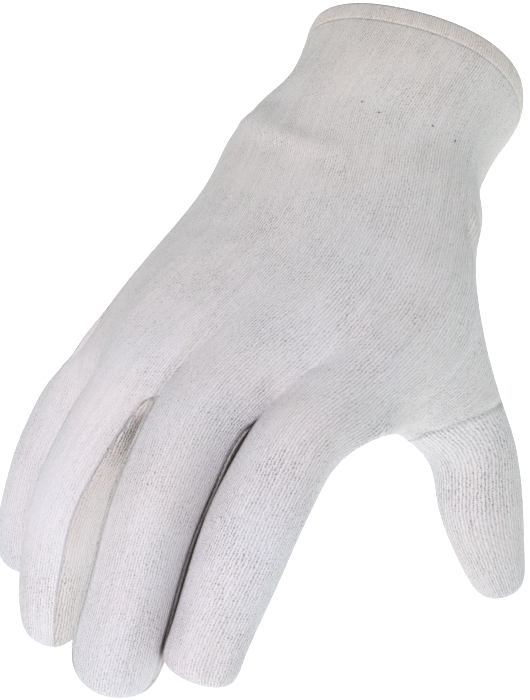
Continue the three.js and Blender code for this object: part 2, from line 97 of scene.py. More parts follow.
def on_hand(share):
    return CUFF_LENGTH + share * HAND_LENGTH


# Sections from the rim to the knuckles. along is measured from the rim, bend is the share of the wrist's
# bend reached, round is the section's exponent, shift and ball are shares of the palm's breadth, knuckles
# says how far the points already stand where the fingers start, and webs the same beside the webs.
Section = namedtuple("Section", "along breadth depth bend round shift ball knuckles webs")
SECTIONS = [
    Section(0, 0.97 * CUFF_BREADTH, 0.915 * CUFF_DEPTH, 0, 2.3, 0, 0, 0, 0),
    Section(HEM_HEIGHT, CUFF_BREADTH, 0.98 * CUFF_DEPTH, 0, 2.3, 0.018, 0, 0, 0),
    Section(2 * HEM_HEIGHT, 0.945 * CUFF_BREADTH, 1.01 * CUFF_DEPTH, 0, 2.3, 0.01, 0, 0, 0),
    Section(on_cuff(0.6), 0.93 * CUFF_BREADTH, 1.01 * CUFF_DEPTH, 0, 2.3, 0.005, 0, 0, 0),
    Section(on_cuff(0.8), 0.912 * WRIST_BREADTH, 1.035 * WRIST_DEPTH, 0.1, 2.4, -0.01, 0, 0, 0),
    Section(on_cuff(1), WRIST_BREADTH, WRIST_DEPTH, 0.5, 2.2, -0.036, 0.014, 0, 0),
    Section(on_hand(0.17), 0.86 * PALM_BREADTH, 1.135 * PALM_DEPTH, 0.9, 2.3, -0.006, 0.046, 0, 0),
    Section(on_hand(0.36), 0.92 * PALM_BREADTH, 1.065 * PALM_DEPTH, 1, 2.3, 0.016, 0.089, 0, 0),
    Section(on_hand(0.58), PALM_BREADTH, PALM_DEPTH, 1, 2.3, 0, 0.085, 0.25, 0.1),
    Section(on_hand(0.8), PALM_BREADTH, 0.87 * PALM_DEPTH, 0.9, 2.3, 0.02, 0.02, 0.7, 0.05),
]
# The thumb's base lies between this section and the second one after it.
THUMB_FIRST_SECTION = 7

# The fingers from the little finger to the index finger, as in the solids. web is a share of the hand's
# length, lift a share of the finger's width, bends are its three joints' bends in degrees, splay turns it
# to the thumb side, gap is the clearance to the next finger, wale the distance between the cloth's ribs
# once the finger has stretched it, and widths are its widths at the finger rings as shares of its own.
# The index finger alone is up to 2% wider here, which closes a light line along the slit beside it.
# The side panels, left and right, are in degrees round the finger: half is half of what a panel spans,
# turn is its middle's turn towards the palm, sink is how much further it turns past the web, and its own
# web is the share of half that it starts with at the web.
Side = namedtuple("Side", "half turn web sink")
Finger = namedtuple("Finger", "name width length web lift bends splay gap left right wale widths")
FINGERS = [
    Finger(
        "little", 21.4, 56, 0.833, -0.91, (25, 23, 14), -5.5, 0.8,
        Side(38, 0, 1, 0), Side(36, 0, 1, 0), 0.86,
        (1, 1, 0.98, 0.95, 0.92, 0.87, 0.69),
    ),
    Finger(
        "ring", 22, 80.5, 0.962, 0.155, (33.5, 32, 11), -11.5, 0.9,
        Side(28, 0, 1, 0), Side(54, -8, 0.45, 0), 0.84,
        (1, 1, 0.98, 0.95, 0.92, 0.88, 0.75),
    ),
    Finger(
        "middle", 25.8, 80, 0.989, 0.33, (16, 27.5, 3.5), -0.9, 3.0,
        Side(20, 0, 0.6, 12), Side(15, 20, 1.2, 22), 1.09,
        (1, 1.01, 0.97, 0.93, 0.94, 0.97, 0.78),
    ),
    Finger(
        "index", 23.6, 73, 0.944, 0.365, (17.5, 19.5, 2), -5.4, 0,
        Side(22, 10, 1, 0), Side(38, 0, 1, 0), 0.93,
        (1, 1.03, 1.045, 1.01, 0.92, 0.86, 0.9),
    ),
]
# The shares of a finger's length from joint to joint, and its rings: the bone each lies on, its share
# along it, how much of the side panels' angles is left there, and how far they keep their web's shapes.
BONES = (0.36, 0.34, 0.3)
FingerRing = namedtuple("FingerRing", "bone along panel web")
FINGER_RINGS = [
    FingerRing(0, 0, 1, 1),
    FingerRing(0, 0.5, 0.95, 0.4),
    FingerRing(1, 0, 0.9, 0),
    FingerRing(1, 0.5, 0.85, 0),
    FingerRing(2, 0, 0.8, 0),
    FingerRing(2, 0.45, 0.74, 0),
    FingerRing(2, 0.84, 0.68, 0),
]
BACK_KEYS = ("left", "back0", "back1", "back2", "right")
PALM_KEYS = ("right", "palm2", "palm1", "palm0", "left")
RING_KEYS = BACK_KEYS + PALM_KEYS[1:-1]

# Each loop round the hand has three columns of points for each finger over the back, as many under the
# palm, and one at either side.
ACROSS = 3 * len(FINGERS)
SECTION_COUNT = 2 * ACROSS + 2

# Where the thumb starts: shares of the palm's breadth to the side, of the hand's length along it and of
# the palm's depth upwards. Its rings: step is a share of its length from the ring before, out and down
# are its direction and turn rolls it, in degrees, width and depth are shares of its width, and web widens
# the side that faces the index finger. All as in the solids.
THUMB_SIDE = 0.559
THUMB_ALONG = 0.45
THUMB_UP = -0.886
ThumbRing = namedtuple("ThumbRing", "step out down turn width depth web")
THUMB_RINGS = [
    ThumbRing(0, 32, 33, 45, 0.98, 1.04, 0.65),
    ThumbRing(0.16, 38, 39.5, 39, 1.09, 1.01, -0.38),
    ThumbRing(0.178, 33, 43.5, 37, 1.07, 0.915, 0),
    ThumbRing(0.186, 32, 49.5, 36, 0.99, 0.795, 0),
    ThumbRing(0.17, 37, 55, 36, 0.845, 0.71, 0),
    ThumbRing(0.14, 40, 59, 36, 0.69, 0.64, 0),
    ThumbRing(0.096, 43, 62, 36, 0.54, 0.56, 0),
]
THUMB_TIP_STEP = 0.07

# Main folds and dents, as in the solids: where they are along the hand and round it, how far they slant
# over one breadth of the wrist, their length in breadths of the wrist, spread in degrees and rise.
Fold = namedtuple("Fold", "along angle slant length spread rise")
FOLDS = [
    Fold(on_cuff(1.32), 160, 0, 0.15, 24, 0.9),
    Fold(on_cuff(1), 158, 0, 0.06, 30, -0.7),
    Fold(on_cuff(1.25), 135, -150, 0.25, 10, 0.5),
    Fold(on_cuff(1.22), 0, 0, 0.1, 30, 1.2),
    Fold(on_hand(0.27), 20, 0, 0.12, 20, -0.6),
    Fold(on_hand(0.42), 138, 0, 0.14, 16, -0.6),
    Fold(on_hand(0.58), 42, -50, 0.3, 11, 0.6),
]

# Small folds of the worn cloth, each along a line of points on the glove in millimetres. left and right
# are how far it spreads to either side of the line, and rise is its height, below zero for a dent.
Line = namedtuple("Line", "points left right rise")
CREASES = [
    Line(((-37, -47, 14), (-24, -57, 24), (-11, -60, 28), (4, -60, 28)), 5, 1.5, 1.7),
    Line(((-26, -33, 21), (-26, -50, 24)), 4, 4, -0.5),
    Line(((38, -55.5, 11), (42, -66.5, 8)), 2.5, 2.5, 1.8),
    Line(((40, -59.5, 14), (44, -70.5, 11)), 1.6, 1.6, -1.2),
    Line(((25, -101, 27), (33, -114, 27), (40, -126, 23)), 4, 3, 0.8),
    Line(((16, -138, 28), (23, -134, 31), (27, -131, 31)), 3, 3, 0.6),
    Line(((-46, -147, 5), (-43, -140, 8)), 3, 3, 0.6),
    Line(((-17, -158, 26), (-19, -165, 22)), 2, 2, -0.6),
    Line(((43, -126, -1), (45, -120, -9), (50, -116, -15)), 3, 3, -0.8),
    Line(((-26, -90, 25), (-26, -98, 25)), 6, 6, -0.5),
    Line(((38, -88, 23), (38, -100, 23)), 6, 6, -0.4),
    Line(((40, -70, 17), (40, -78, 17)), 5, 5, -0.4),
]

# Where the cloth is pulled and its ribs and holes open: lines as above, with a share in place of the
# rise, below zero where the cloth lies soft and closed.
PULLED = [
    Line(((24, -138, 28), (20, -170, 27), (8, -214, 0)), 13, 13, 0.3),
    Line(((50, -104, -16), (60, -118, -36), (74, -134, -66)), 14, 14, 0.3),
    Line(((-24, -128, 30), (-31, -160, 26), (-38, -196, -8)), 9, 12, -0.55),
    Line(((-44, -128, 12), (-52, -150, 4), (-56, -184, -24)), 12, 12, -0.3),
    Line(((-20, -70, 30), (-4, -95, 33), (2, -125, 33)), 18, 14, 0.25),
    Line(((40, -144, 23), (43, -133, 14)), 2, 2, 0.9),
    Line(((43, -126, -1), (45, -120, -9), (50, -116, -15)), 2.5, 2.5, 1),
    Line(((9, -140, 29), (12, -148, 27)), 2.5, 2.5, 1.1),
    Line(((-17, -158, 26), (-22, -172, 20)), 3, 3, 0.8),
]

# Millimetres between neighbouring wales, the knit's lengthwise ribs, where the hand, the strips between
# the fingers and the thumb have stretched the cloth, and by what share they thin out towards the thumb.
HAND_WALE = 0.95
THUMB_PULL = 0.25
STRIP_WALE = 0.85
THUMB_WALE = 1.25

FORKS = ("fourchette_ring_little", "fourchette_middle_ring", "fourchette_index_middle")
PANELS = ("hand_body", "thumb") + FORKS + ("cuff_hem",)


def linear(hex_code):
    """The sRGB colour of a hex code as linear red, green, blue and full alpha."""
    shares = [int(hex_code[i:i + 2], 16) / 255 for i in (1, 3, 5)]
    return [s / 12.92 if s <= 0.04045 else ((s + 0.055) / 1.055) ** 2.4 for s in shares] + [1.0]


def size_setting(name, description, default, low, high):
    """A setting in metres from lengths in millimetres."""
    return bpy.props.FloatProperty(
        name=name, description=description,
        default=default * MM, min=low * MM, max=high * MM, unit="LENGTH",
    )


def colour_setting(name, description, hex_code):
    return bpy.props.FloatVectorProperty(
        name=name, description=description,
        default=linear(hex_code), size=4, min=0, max=1, subtype="COLOR",
    )


class GloveSizes(bpy.types.PropertyGroup):
    """Sizes of the cloth, its seams and the studio."""

    cloth: size_setting("Cloth thickness", "Wall of the knitted panels", 1.2, 0.5, 3)
    hem_cloth: size_setting("Hem thickness", "Wall of the turned-in band at the cuff", 2.2, 1, 4)
    hem_proud: size_setting("Hem bulge", "How far the hem stands out from the cuff", 0.35, 0, 2)
    seam_depth: size_setting("Seam depth", "How deep the panels' edges are drawn in at a seam", 0.02, 0, 1.5)
    wale: size_setting("Wale spacing", "Between two neighbouring ribs of the relaxed cloth", 0.8, 0.5, 3)
    repeat: size_setting("Lapping repeat", "The two courses after which the loops repeat", 1.45, 0.6, 5)
    stitch: size_setting("Stitch spacing", "Between two stitches of a seam", 2.4, 1, 5)
    thread: size_setting("Thread thickness", "Diameter of the sewing thread", 0.2, 0.1, 1)
    floor_drop: size_setting("Floor drop", "Distance of the studio floor below the glove", 900, 50, 2000)


class GloveColours(bpy.types.PropertyGroup):
    """Colours of the cloth and the studio."""

    cotton: colour_setting("Cotton", "Bleached cotton of the main panels", "#f0f1f5")
    hem: colour_setting("Hem", "Double cotton of the turned-in band, which is less shaded", "#f5f2f3")
    # Painted shade: darker and warmer than the main cotton, for the grooves between the fingers; the cloth
    # itself is the same.
    side_panel: colour_setting("Side panels", "Cotton of the panels between the fingers", "#e6e4e2")
    shade: colour_setting("Between loops", "What shows through between the loops", "#8f8a88")
    # Painted shade: the dark colour mixed into the cotton in narrow slits and folds, where little light
    # reaches.
    painted_slit_shade: colour_setting("Narrow slits", "Cotton in slits, where its fibres catch the light", "#4f4844")
    fleck: colour_setting("Flecks", "Bits of cotton seed husk in the yarn", "#6b5a4a")
    floor: colour_setting("Floor", "Studio floor", "#ffffff")


def sizes():
    return bpy.context.scene.glove_sizes


def colours():
    return bpy.context.scene.glove_colours


def swell(points):
    """How much larger a control ring is than the section it stands for, because subdivision shrinks it."""
    return 3 / (2 + math.cos(2 * math.pi / points))


def swell_between(before, angle, after):
    """The same for a point between two neighbours at uneven angles."""
    x = (math.cos(before) + 4 * math.cos(angle) + math.cos(after)) / 6
    y = (math.sin(before) + 4 * math.sin(angle) + math.sin(after)) / 6
    return 1 / math.hypot(x, y)


def section_point(angle, half_breadth, half_depth, rounding):
    """A point of a rounded section, to its side and upwards."""
    c = math.cos(angle)
    s = math.sin(angle)
    side = half_breadth * math.copysign(abs(c) ** (2 / rounding), c)
    up = half_depth * math.copysign(abs(s) ** (2 / rounding), s)
    return side, up


def centre_line():
    """Rows of along, y, z and pitch: the line starts along -Y and bends up at the wrist."""
    rows = []
    y = z = along = pitch = 0.0
    for section in SECTIONS:
        goal = math.radians(WRIST_BEND * section.bend)
        mean = (goal + pitch) / 2
        y -= (section.along - along) * math.cos(mean)
        z += (section.along - along) * math.sin(mean)
        along = section.along
        pitch = goal
        rows.append((along, y, z, pitch))
    return np.array(rows)


LINE = centre_line()


def on_line(along):
    """y, z and pitch of the centre line at a distance from the rim, or at many."""
    y, z, pitch = (np.interp(along, LINE[:, 0], LINE[:, k]) for k in (1, 2, 3))
    rest = np.maximum(np.asarray(along) - LINE[-1, 0], 0)
    return y - rest * np.cos(pitch), z + rest * np.sin(pitch), pitch


def place(at, side, up):
    y, z, pitch = at
    return np.array([side, y + up * math.sin(pitch), z + up * math.cos(pitch)])


def height_over(at, point):
    y, z, pitch = at
    return (point[..., 1] - y) * np.sin(pitch) + (point[..., 2] - z) * np.cos(pitch)


class Pattern:
    """The control cage: points, and four-sided faces with their panel and the cloth's own coordinates."""

    def __init__(self):
        self.points = []
        self.faces = []

    def point(self, position):
        self.points.append(np.asarray(position, float))
        return len(self.points) - 1

    def face(self, panel, *corners):
        """Adds a face from four corners, each a point and its place on the cloth, across and along."""
        self.faces.append((panel, corners[::-1]))

    def gap(self, a, b):
        return float(np.linalg.norm(self.points[a] - self.points[b]))


def ring_angles(finger, row):
    """The angles of a finger ring's points, from the little finger's side over the back and round."""
    turns = []
    halves = []
    for panel in (finger.left, finger.right):
        turns.append(math.radians((panel.turn + panel.sink * (1 - row.web)) * row.panel))
        halves.append(math.radians(panel.half * row.panel * (1 + (panel.web - 1) * row.web)))
    left = math.pi + turns[0]
    right = -turns[1]
    left_half, right_half = halves
    back0 = left - left_half
    back2 = right + right_half
    palm2 = right - right_half
    palm0 = left + left_half - 2 * math.pi
    return left, back0, (back0 + back2) / 2, back2, right, palm2, (palm2 + palm0) / 2, palm0


def finger_rings(cage, finger, centre):
    """Adds the points of one finger and returns its rings and its tip."""
    start = on_line(on_hand(finger.web))
    yaw = math.radians(finger.splay)
    side = np.array([math.cos(yaw), math.sin(yaw), 0])

    def forward(pitch):
        flat = math.cos(pitch)
        return np.array([math.sin(yaw) * flat, -math.cos(yaw) * flat, math.sin(pitch)])

    def upward(pitch):
        lean = math.sin(pitch)
        return np.array([-math.sin(yaw) * lean, math.cos(yaw) * lean, math.cos(pitch)])

    pitches = []
    pitch = float(start[2])
    for bend in finger.bends:
        pitch -= math.radians(bend)
        pitches.append(pitch)
    joints = [place(start, centre, finger.lift * finger.width)]
    for share, pitch in zip(BONES, pitches):
        joints.append(joints[-1] + forward(pitch) * share * finger.length)
    rings = []
    for row, share in zip(FINGER_RINGS, finger.widths):
        middle = joints[row.bone] + (joints[row.bone + 1] - joints[row.bone]) * row.along
        before = pitches[row.bone - 1] if row.bone else float(start[2])
        tilt = pitches[row.bone] if row.along else (pitches[row.bone] + before) / 2
        angles = ring_angles(finger, row)
        ring = {}
        for i, key in enumerate(RING_KEYS):
            grown = swell_between(angles[i - 1], angles[i], angles[(i + 1) % len(angles)])
            half = finger.width * share * grown / 2
            out, up = section_point(angles[i], half, half * FINGER_DEPTH_SHARE, FINGER_ROUND)
            ring[key] = cage.point(middle + side * out + upward(tilt) * up)
        rings.append(ring)
    return rings, cage.point(joints[3])


def section_loops(cage, fingers):
    """Adds the points of the cuff and the hand, one closed loop for each section."""
    backs = [rings[0][key] for rings, _ in fingers for key in ("back0", "back1", "back2")]
    palms = [rings[0][key] for rings, _ in fingers for key in ("palm0", "palm1", "palm2")]
    starts = [on_line(on_hand(finger.web)) for finger in FINGERS]
    beside_web = [0 < column < ACROSS - 1 and column % 3 != 1 for column in range(ACROSS)]
    loops = []
    for section, (_, y, z, pitch) in zip(SECTIONS, LINE):
        half = section.breadth * swell(SECTION_COUNT) / 2
        half_depth = section.depth * swell(SECTION_COUNT) / 2
        shift = section.shift * PALM_BREADTH
        ball = section.ball * PALM_BREADTH
        rows = {1: [], -1: []}
        for column in range(ACROSS):
            angle = math.pi * (1 - (column + 1) / (ACROSS + 1))
            side, up = section_point(angle, half, half_depth, section.round)
            side += ball * max(side / half, 0) ** 2 + shift
            for sign, goals in ((1, backs), (-1, palms)):
                goal = cage.points[goals[column]]
                high = float(height_over(starts[column // 3], goal))
                x = side + (goal[0] - side) * section.knuckles
                sunk = section.webs if beside_web[column] else section.knuckles
                h = sign * up + (high - sign * up) * sunk
                rows[sign].append(cage.point(place((y, z, pitch), x, h)))
        left = cage.point(place((y, z, pitch), shift - half, 0))
        right = cage.point(place((y, z, pitch), shift + half + ball, 0))
        loops.append([left] + rows[1] + [right] + rows[-1][::-1])
    return loops


Hand = namedtuple("Hand", "loops across along")


def hand_cloth(cage, loops, wale):
    """The hand's loops with their places on the cloth, across and along, for each loop and column.

    Every loop has the same wales, further apart towards the thumb, which pulls on them.
    """
    arounds = []
    for loop in loops:
        steps = [cage.gap(a, b) for a, b in zip(loop, loop[1:] + loop[:1])]
        arounds.append(np.concatenate([[0], np.cumsum(steps)]))
    wales = round(arounds[-1][-1] / HAND_WALE)
    shares = np.array([around / around[-1] for around in arounds])
    shares += THUMB_PULL * np.sin(2 * math.pi * shares) / (2 * math.pi)
    along = np.zeros((len(loops), SECTION_COUNT + 1))
    for j in range(1, len(loops)):
        rise = [cage.gap(a, b) for a, b in zip(loops[j], loops[j - 1])]
        along[j] = along[j - 1] + np.array(rise + rise[:1])
    return Hand(loops, shares * wales * wale, along)


def corner(hand, j, column):
    """A cage corner on the hand: its point, and its place on the cloth across and along."""
    return hand.loops[j][column % SECTION_COUNT], (hand.across[j, column], hand.along[j, column])


def add_band(cage, panel, rings, rows, a, b, way=1):
    """Adds the faces between the lines a and b of a finger, whose rows say where they lie on the cloth."""
    for near, far, here, there in zip(rings, rings[1:], rows, rows[1:]):
        corners = ((near[a], here[a]), (near[b], here[b]), (far[b], there[b]), (far[a], there[a]))
        cage.face(panel, *corners[::way])


def half_cloth(cage, finger, rings, tip, keys, anchor, across, along, stretch):
    """The place on the cloth of a finger's back or palm: a dictionary for each ring, and the tip's place.

    anchor is the key whose place across is given. The others are measured round from it on the finger
    itself, because the control points stand further out.
    """
    rows = []
    for j, ring in enumerate(rings):
        angle = dict(zip(RING_KEYS, ring_angles(finger, FINGER_RINGS[j])))
        half = finger.width * finger.widths[j] / 2
        steps = [(angle[a] - angle[b]) % (2 * math.pi) * half for a, b in zip(keys, keys[1:])]
        place_round = dict(zip(keys, np.concatenate([[0], np.cumsum(steps)])))
        if j:
            along = {k: along[k] + cage.gap(ring[k], rings[j - 1][k]) for k in keys}
        rows.append({
            k: (across + (place_round[k] - place_round[anchor]) * stretch, along[k]) for k in keys
        })
    middle = keys[2]
    return rows, (rows[-1][middle][0], along[middle] + cage.gap(rings[-1][middle], tip))


def add_fingers(cage, fingers, hand, wale):
    """Adds the faces from the knuckles to the fingertips, first each finger's back and then its palm."""
    last = len(hand.loops) - 1
    for n, (finger, (rings, tip)) in enumerate(zip(FINGERS, fingers)):
        first, final = n == 0, n == len(FINGERS) - 1
        # The loops' columns run over the back from the little finger, and return under the palm.
        for keys, start, way in ((BACK_KEYS, 3 * n, 1), (PALM_KEYS, SECTION_COUNT - 3 * n - 4, -1)):
            below = {k: corner(hand, last, start + i) for i, k in enumerate(keys)}
            along = {k: y + cage.gap(point, rings[0][k]) for k, (point, (_, y)) in below.items()}
            anchor = "left" if first else "right" if final else keys[2]
            rows, tip_place = half_cloth(
                cage, finger, rings, tip, keys, anchor, below[anchor][1][0], along, wale / finger.wale,
            )
            for a, b in zip(keys, keys[1:]):
                if ("left" in (a, b) and not first) or ("right" in (a, b) and not final):
                    continue
                ends = [(rings[0][k], rows[0][k]) for k in (b, a)]
                cage.face("hand_body", below[a], below[b], *ends)
                add_band(cage, "hand_body", rings, rows, a, b)
            for trio in (keys[:3], keys[2:]):
                cage.face("hand_body", *[(rings[-1][k], rows[-1][k]) for k in trio], (tip, tip_place))
            if final:
                continue
            # The hand's column that ends at the web between this finger and the next.
            mine, other = ("back2", "back0") if way == 1 else ("palm2", "palm0")
            x, y = rows[0][mine]
            point = fingers[n + 1][0][0][other]
            gap = cage.gap(rings[0][mine], point) * wale / HAND_WALE
            ends = ((rings[0][mine], (x, y)), (point, (x + way * gap, y)))
            starts = (below[mine], below["right"])
            cage.face("hand_body", *starts[::way], *ends[::-way])


def add_side_panels(cage, fingers, wale):
    """Adds the strips between the fingers, each up one finger, across the web and up the next."""
    stretch = wale / STRIP_WALE
    for fork, (one, _), (other, _) in zip(FORKS, fingers, fingers[1:]):
        web = cage.gap(one[0]["right"], other[0]["left"])
        strips = (
            (one, ("back2", "right", "palm2"), -1),
            (other, ("back0", "left", "palm0"), 1),
        )
        starts = []
        for rings, (back, side, palm), way in strips:
            along = web / 2
            rows = []
            for j, ring in enumerate(rings):
                if j:
                    along += cage.gap(ring[side], rings[j - 1][side])
                rows.append({
                    back: (-cage.gap(ring[back], ring[side]) * stretch, way * along),
                    side: (0, way * along),
                    palm: (cage.gap(ring[side], ring[palm]) * stretch, way * along),
                })
            for a, b in ((back, side), (side, palm)):
                add_band(cage, fork, rings, rows, a, b, -way)
            starts.append([(rings[0][k], rows[0][k]) for k in (back, side, palm)])
        near, far = starts
        for i in (0, 1):
            cage.face(fork, near[i], far[i], far[i + 1], near[i + 1])


def thumb_rings(cage, count):
    """Adds the points of the thumb and returns its rings and its tip."""
    centre = place(on_line(on_hand(THUMB_ALONG)), THUMB_SIDE * PALM_BREADTH, THUMB_UP * PALM_DEPTH)
    size = THUMB_WIDTH * swell(count) / 2
    rings = []
    for row in THUMB_RINGS:
        out, down, turn = (math.radians(a) for a in (row.out, row.down, row.turn))
        ahead = np.array([
            math.sin(out) * math.cos(down), -math.cos(out) * math.cos(down), -math.sin(down),
        ])
        centre = centre + ahead * row.step * THUMB_LENGTH
        up = np.array([0, 0, 1]) - ahead * ahead[2]
        up /= np.linalg.norm(up)
        up = up * math.cos(turn) - np.cross(ahead, up) * math.sin(turn)
        inner = np.cross(ahead, up)
        points = []
        for i in range(count):
            angle = 2 * math.pi * i / count
            width = row.width + (row.web if math.sin(angle) > 0 else 0)
            points.append(cage.point(
                centre + up * math.cos(angle) * row.depth * size + inner * math.sin(angle) * width * size
            ))
        rings.append(points)
    return rings, cage.point(centre + ahead * THUMB_TIP_STEP * THUMB_LENGTH)


def add_thumb(cage, hand, wale):
    """Adds the base of the thumb to the hand's cloth, and the thumb panel with its own wales."""
    first = THUMB_FIRST_SECTION
    back, side, palm = ACROSS, ACROSS + 1, ACROSS + 2
    hole = [
        (first + 1, back), (first + 2, back), (first + 2, side), (first + 2, palm),
        (first + 1, palm), (first, palm), (first, side), (first, back),
    ]
    count = len(hole)
    below = [corner(hand, j, column) for j, column in hole]
    rings, tip = thumb_rings(cage, count)

    def spread(i, sign):
        """A corner of the thumb's first ring, with the hand's cloth carried on over the back or the palm."""
        point, (x, y) = below[i]
        step = cage.points[rings[0][i]] - cage.points[point]
        out = math.hypot(step[0], step[2]) * wale / THUMB_WALE
        return rings[0][i], (x + sign * out, y - step[1])

    for i in range(count):
        k = (i + 1) % count
        sign = -1 if i in (2, 3, 4, 5) else 1
        cage.face("hand_body", below[i], spread(i, sign), spread(k, sign), below[k])
    around = sum(cage.gap(rings[1][i], rings[1][(i + 1) % count]) for i in range(count))
    pitch_round = round(around / THUMB_WALE) * wale / count
    # The cloth's own seam is on the palm side.
    seam = 5
    lengths = [0.0] * count
    for near, far in zip(rings, rings[1:]):
        further = [lengths[i] + cage.gap(near[i], far[i]) for i in range(count)]
        for i in range(count):
            k = (i + 1) % count
            a = (i - seam) % count * pitch_round
            b = a + pitch_round
            cage.face(
                "thumb",
                (near[i], (a, lengths[i])), (far[i], (a, further[i])),
                (far[k], (b, further[k])), (near[k], (b, lengths[k])),
            )
        lengths = further
    end = rings[-1]
    for i in range(0, count, 2):
        before, after = (i - 1) % count, (i + 1) % count
        a = (before - seam) % count * pitch_round
        middle = a + pitch_round
        cage.face(
            "thumb",
            (end[before], (a, lengths[before])), (tip, (middle, lengths[i] + cage.gap(end[i], tip))),
            (end[after], (middle + pitch_round, lengths[after])), (end[i], (middle, lengths[i])),
        )


def glove_pattern(wale):
    """The whole control cage of the glove."""
    cage = Pattern()
    x = -FINGERS_ASIDE - sum(f.width + f.gap for f in FINGERS) / 2
    fingers = []
    for finger in FINGERS:
        fingers.append(finger_rings(cage, finger, x + finger.width / 2))
        x += finger.width + finger.gap
    hand = hand_cloth(cage, section_loops(cage, fingers), wale)
    thumb_rows = (THUMB_FIRST_SECTION, THUMB_FIRST_SECTION + 1)
    for j in range(len(hand.loops) - 1):
        for i in range(SECTION_COUNT):
            if j in thumb_rows and i in (ACROSS, ACROSS + 1):
                continue
            corners = ((j, i), (j, i + 1), (j + 1, i + 1), (j + 1, i))
            cage.face("hand_body" if j else "cuff_hem", *[corner(hand, *at) for at in corners])
    add_fingers(cage, fingers, hand, wale)
    add_side_panels(cage, fingers, wale)
    add_thumb(cage, hand, wale)
    return cage


def fold_heights(points):
    """How far the main folds raise each point, in millimetres."""
    at = on_line(-points[:, 1])
    angle = np.degrees(np.arctan2(height_over(at, points), points[:, 0]))
    height = np.zeros(len(points))
    for fold in FOLDS:
        past = -points[:, 1] - fold.along
        turn = (angle - fold.angle - fold.slant * past / WRIST_BREADTH + 540) % 360 - 180
        away = (past / (fold.length * WRIST_BREADTH)) ** 2 + (turn / fold.spread) ** 2
        height += fold.rise * FOLD_HEIGHT * np.exp(-away)
    return height


def line_weights(points, normals, lines):
    """The sum of what some lines on the glove give each point, strongest on a line's own middle."""
    total = np.zeros(len(points))
    for line in lines:
        marks = np.array(line.points, float)
        steps = np.linalg.norm(np.diff(marks, axis=0), axis=1)
        far = np.concatenate([[0], np.cumsum(steps)])
        nearest = np.full(len(points), np.inf)
        weight = np.zeros(len(points))
        for start, end, before, step in zip(marks, marks[1:], far, steps):
            run = (end - start) / step
            past = np.clip((points - start) @ run, 0, step)
            off = points - start - past[:, None] * run
            reach = np.linalg.norm(off, axis=1)
            off -= normals * np.einsum("ij,ij->i", off, normals)[:, None]
            across = np.einsum("ij,ij->i", off, np.cross(normals, run))
            spread = np.where(across > 0, line.left, line.right)
            share = (before + past) / far[-1]
            value = np.exp(-((np.linalg.norm(off, axis=1) / spread) ** 2)) * np.sin(math.pi * share) ** 0.5
            closer = reach < nearest
            weight[closer] = value[closer]
            nearest[closer] = reach[closer]
        # A point much further off than the line's spread lies on another side of the glove.
        weight[nearest > 3 * (max(line.left, line.right) + 1)] = 0
        total += line.rise * weight
    return total


def point_normals(points, quads):
    normals = np.zeros_like(points)
    a = points[quads[:, 2]] - points[quads[:, 0]]
    b = points[quads[:, 3]] - points[quads[:, 1]]
    flat = np.cross(a, b)
    for k in range(4):
        np.add.at(normals, quads[:, k], flat)
    # A cage point that no face uses has no normal, and its length is left at 1.
    length = np.linalg.norm(normals, axis=1)
    return normals / np.where(length > 0, length, 1)[:, None]


def read(items, key, width, kind=float):
    """One value of all of a mesh's vertices, loops or faces, in rows as wide as asked."""
    size = np.size(getattr(items[0], key))
    values = np.empty(len(items) * size, kind)
    items.foreach_get(key, values)
    return values.reshape(-1, *width)


Skin = namedtuple("Skin", "points normals quads cloth panel pulled")


@cache
def glove_skin(wale):
    """The glove's smooth outer surface in millimetres, with its folds, made once for each wale spacing."""
    cage = glove_pattern(wale / MM)
    mesh = bpy.data.meshes.new("pattern")
    mesh.from_pydata([tuple(p) for p in cage.points], [], [[c[0] for c in f[1]] for f in cage.faces])
    layer = mesh.uv_layers.new(name="cloth")
    places = [spot for _, corners in cage.faces for _, spot in corners]
    layer.data.foreach_set("uv", np.array(places, float).ravel())
    mesh.polygons.foreach_set("material_index", [PANELS.index(panel) for panel, _ in cage.faces])
    pattern = bpy.data.objects.new("pattern", mesh)
    bpy.context.scene.collection.objects.link(pattern)
    smooth = pattern.modifiers.new("smooth", "SUBSURF")
    smooth.levels = 3
    smooth.uv_smooth = "PRESERVE_BOUNDARIES"
    graph = bpy.context.evaluated_depsgraph_get()
    fine = bpy.data.meshes.new_from_object(pattern.evaluated_get(graph))
    points = read(fine.vertices, "co", (3,))
    quads = read(fine.loops, "vertex_index", (4,), int)
    cloth = read(fine.uv_layers["cloth"].data, "uv", (4, 2))
    panel = read(fine.polygons, "material_index", (), int)
    bpy.data.objects.remove(pattern)
    bpy.data.meshes.remove(mesh)
    bpy.data.meshes.remove(fine)
    normals = point_normals(points, quads)
    raised = fold_heights(points) + line_weights(points, normals, CREASES)
    pulled = line_weights(points, normals, PULLED)
    points = points + normals * raised[:, None]
    return Skin(points, point_normals(points, quads), quads, cloth, panel, pulled)


def cut_edges(quads):
    """The edges of some faces that no other of them shares, each in its face's own direction."""
    edges = {}
    for quad in quads:
        for i in range(4):
            a, b = int(quad[i]), int(quad[(i + 1) % 4])
            edges[(a, b)] = True
    return [e for e in edges if (e[1], e[0]) not in edges]


def seam_loops(edges):
    """The edges joined to closed loops of points."""
    after = dict(edges)
    loops = []
    while after:
        start, here = next(iter(after.items()))
        loop = [start]
        del after[start]
        while here != start:
            loop.append(here)
            here = after.pop(here)
        loops.append(loop)
    return loops


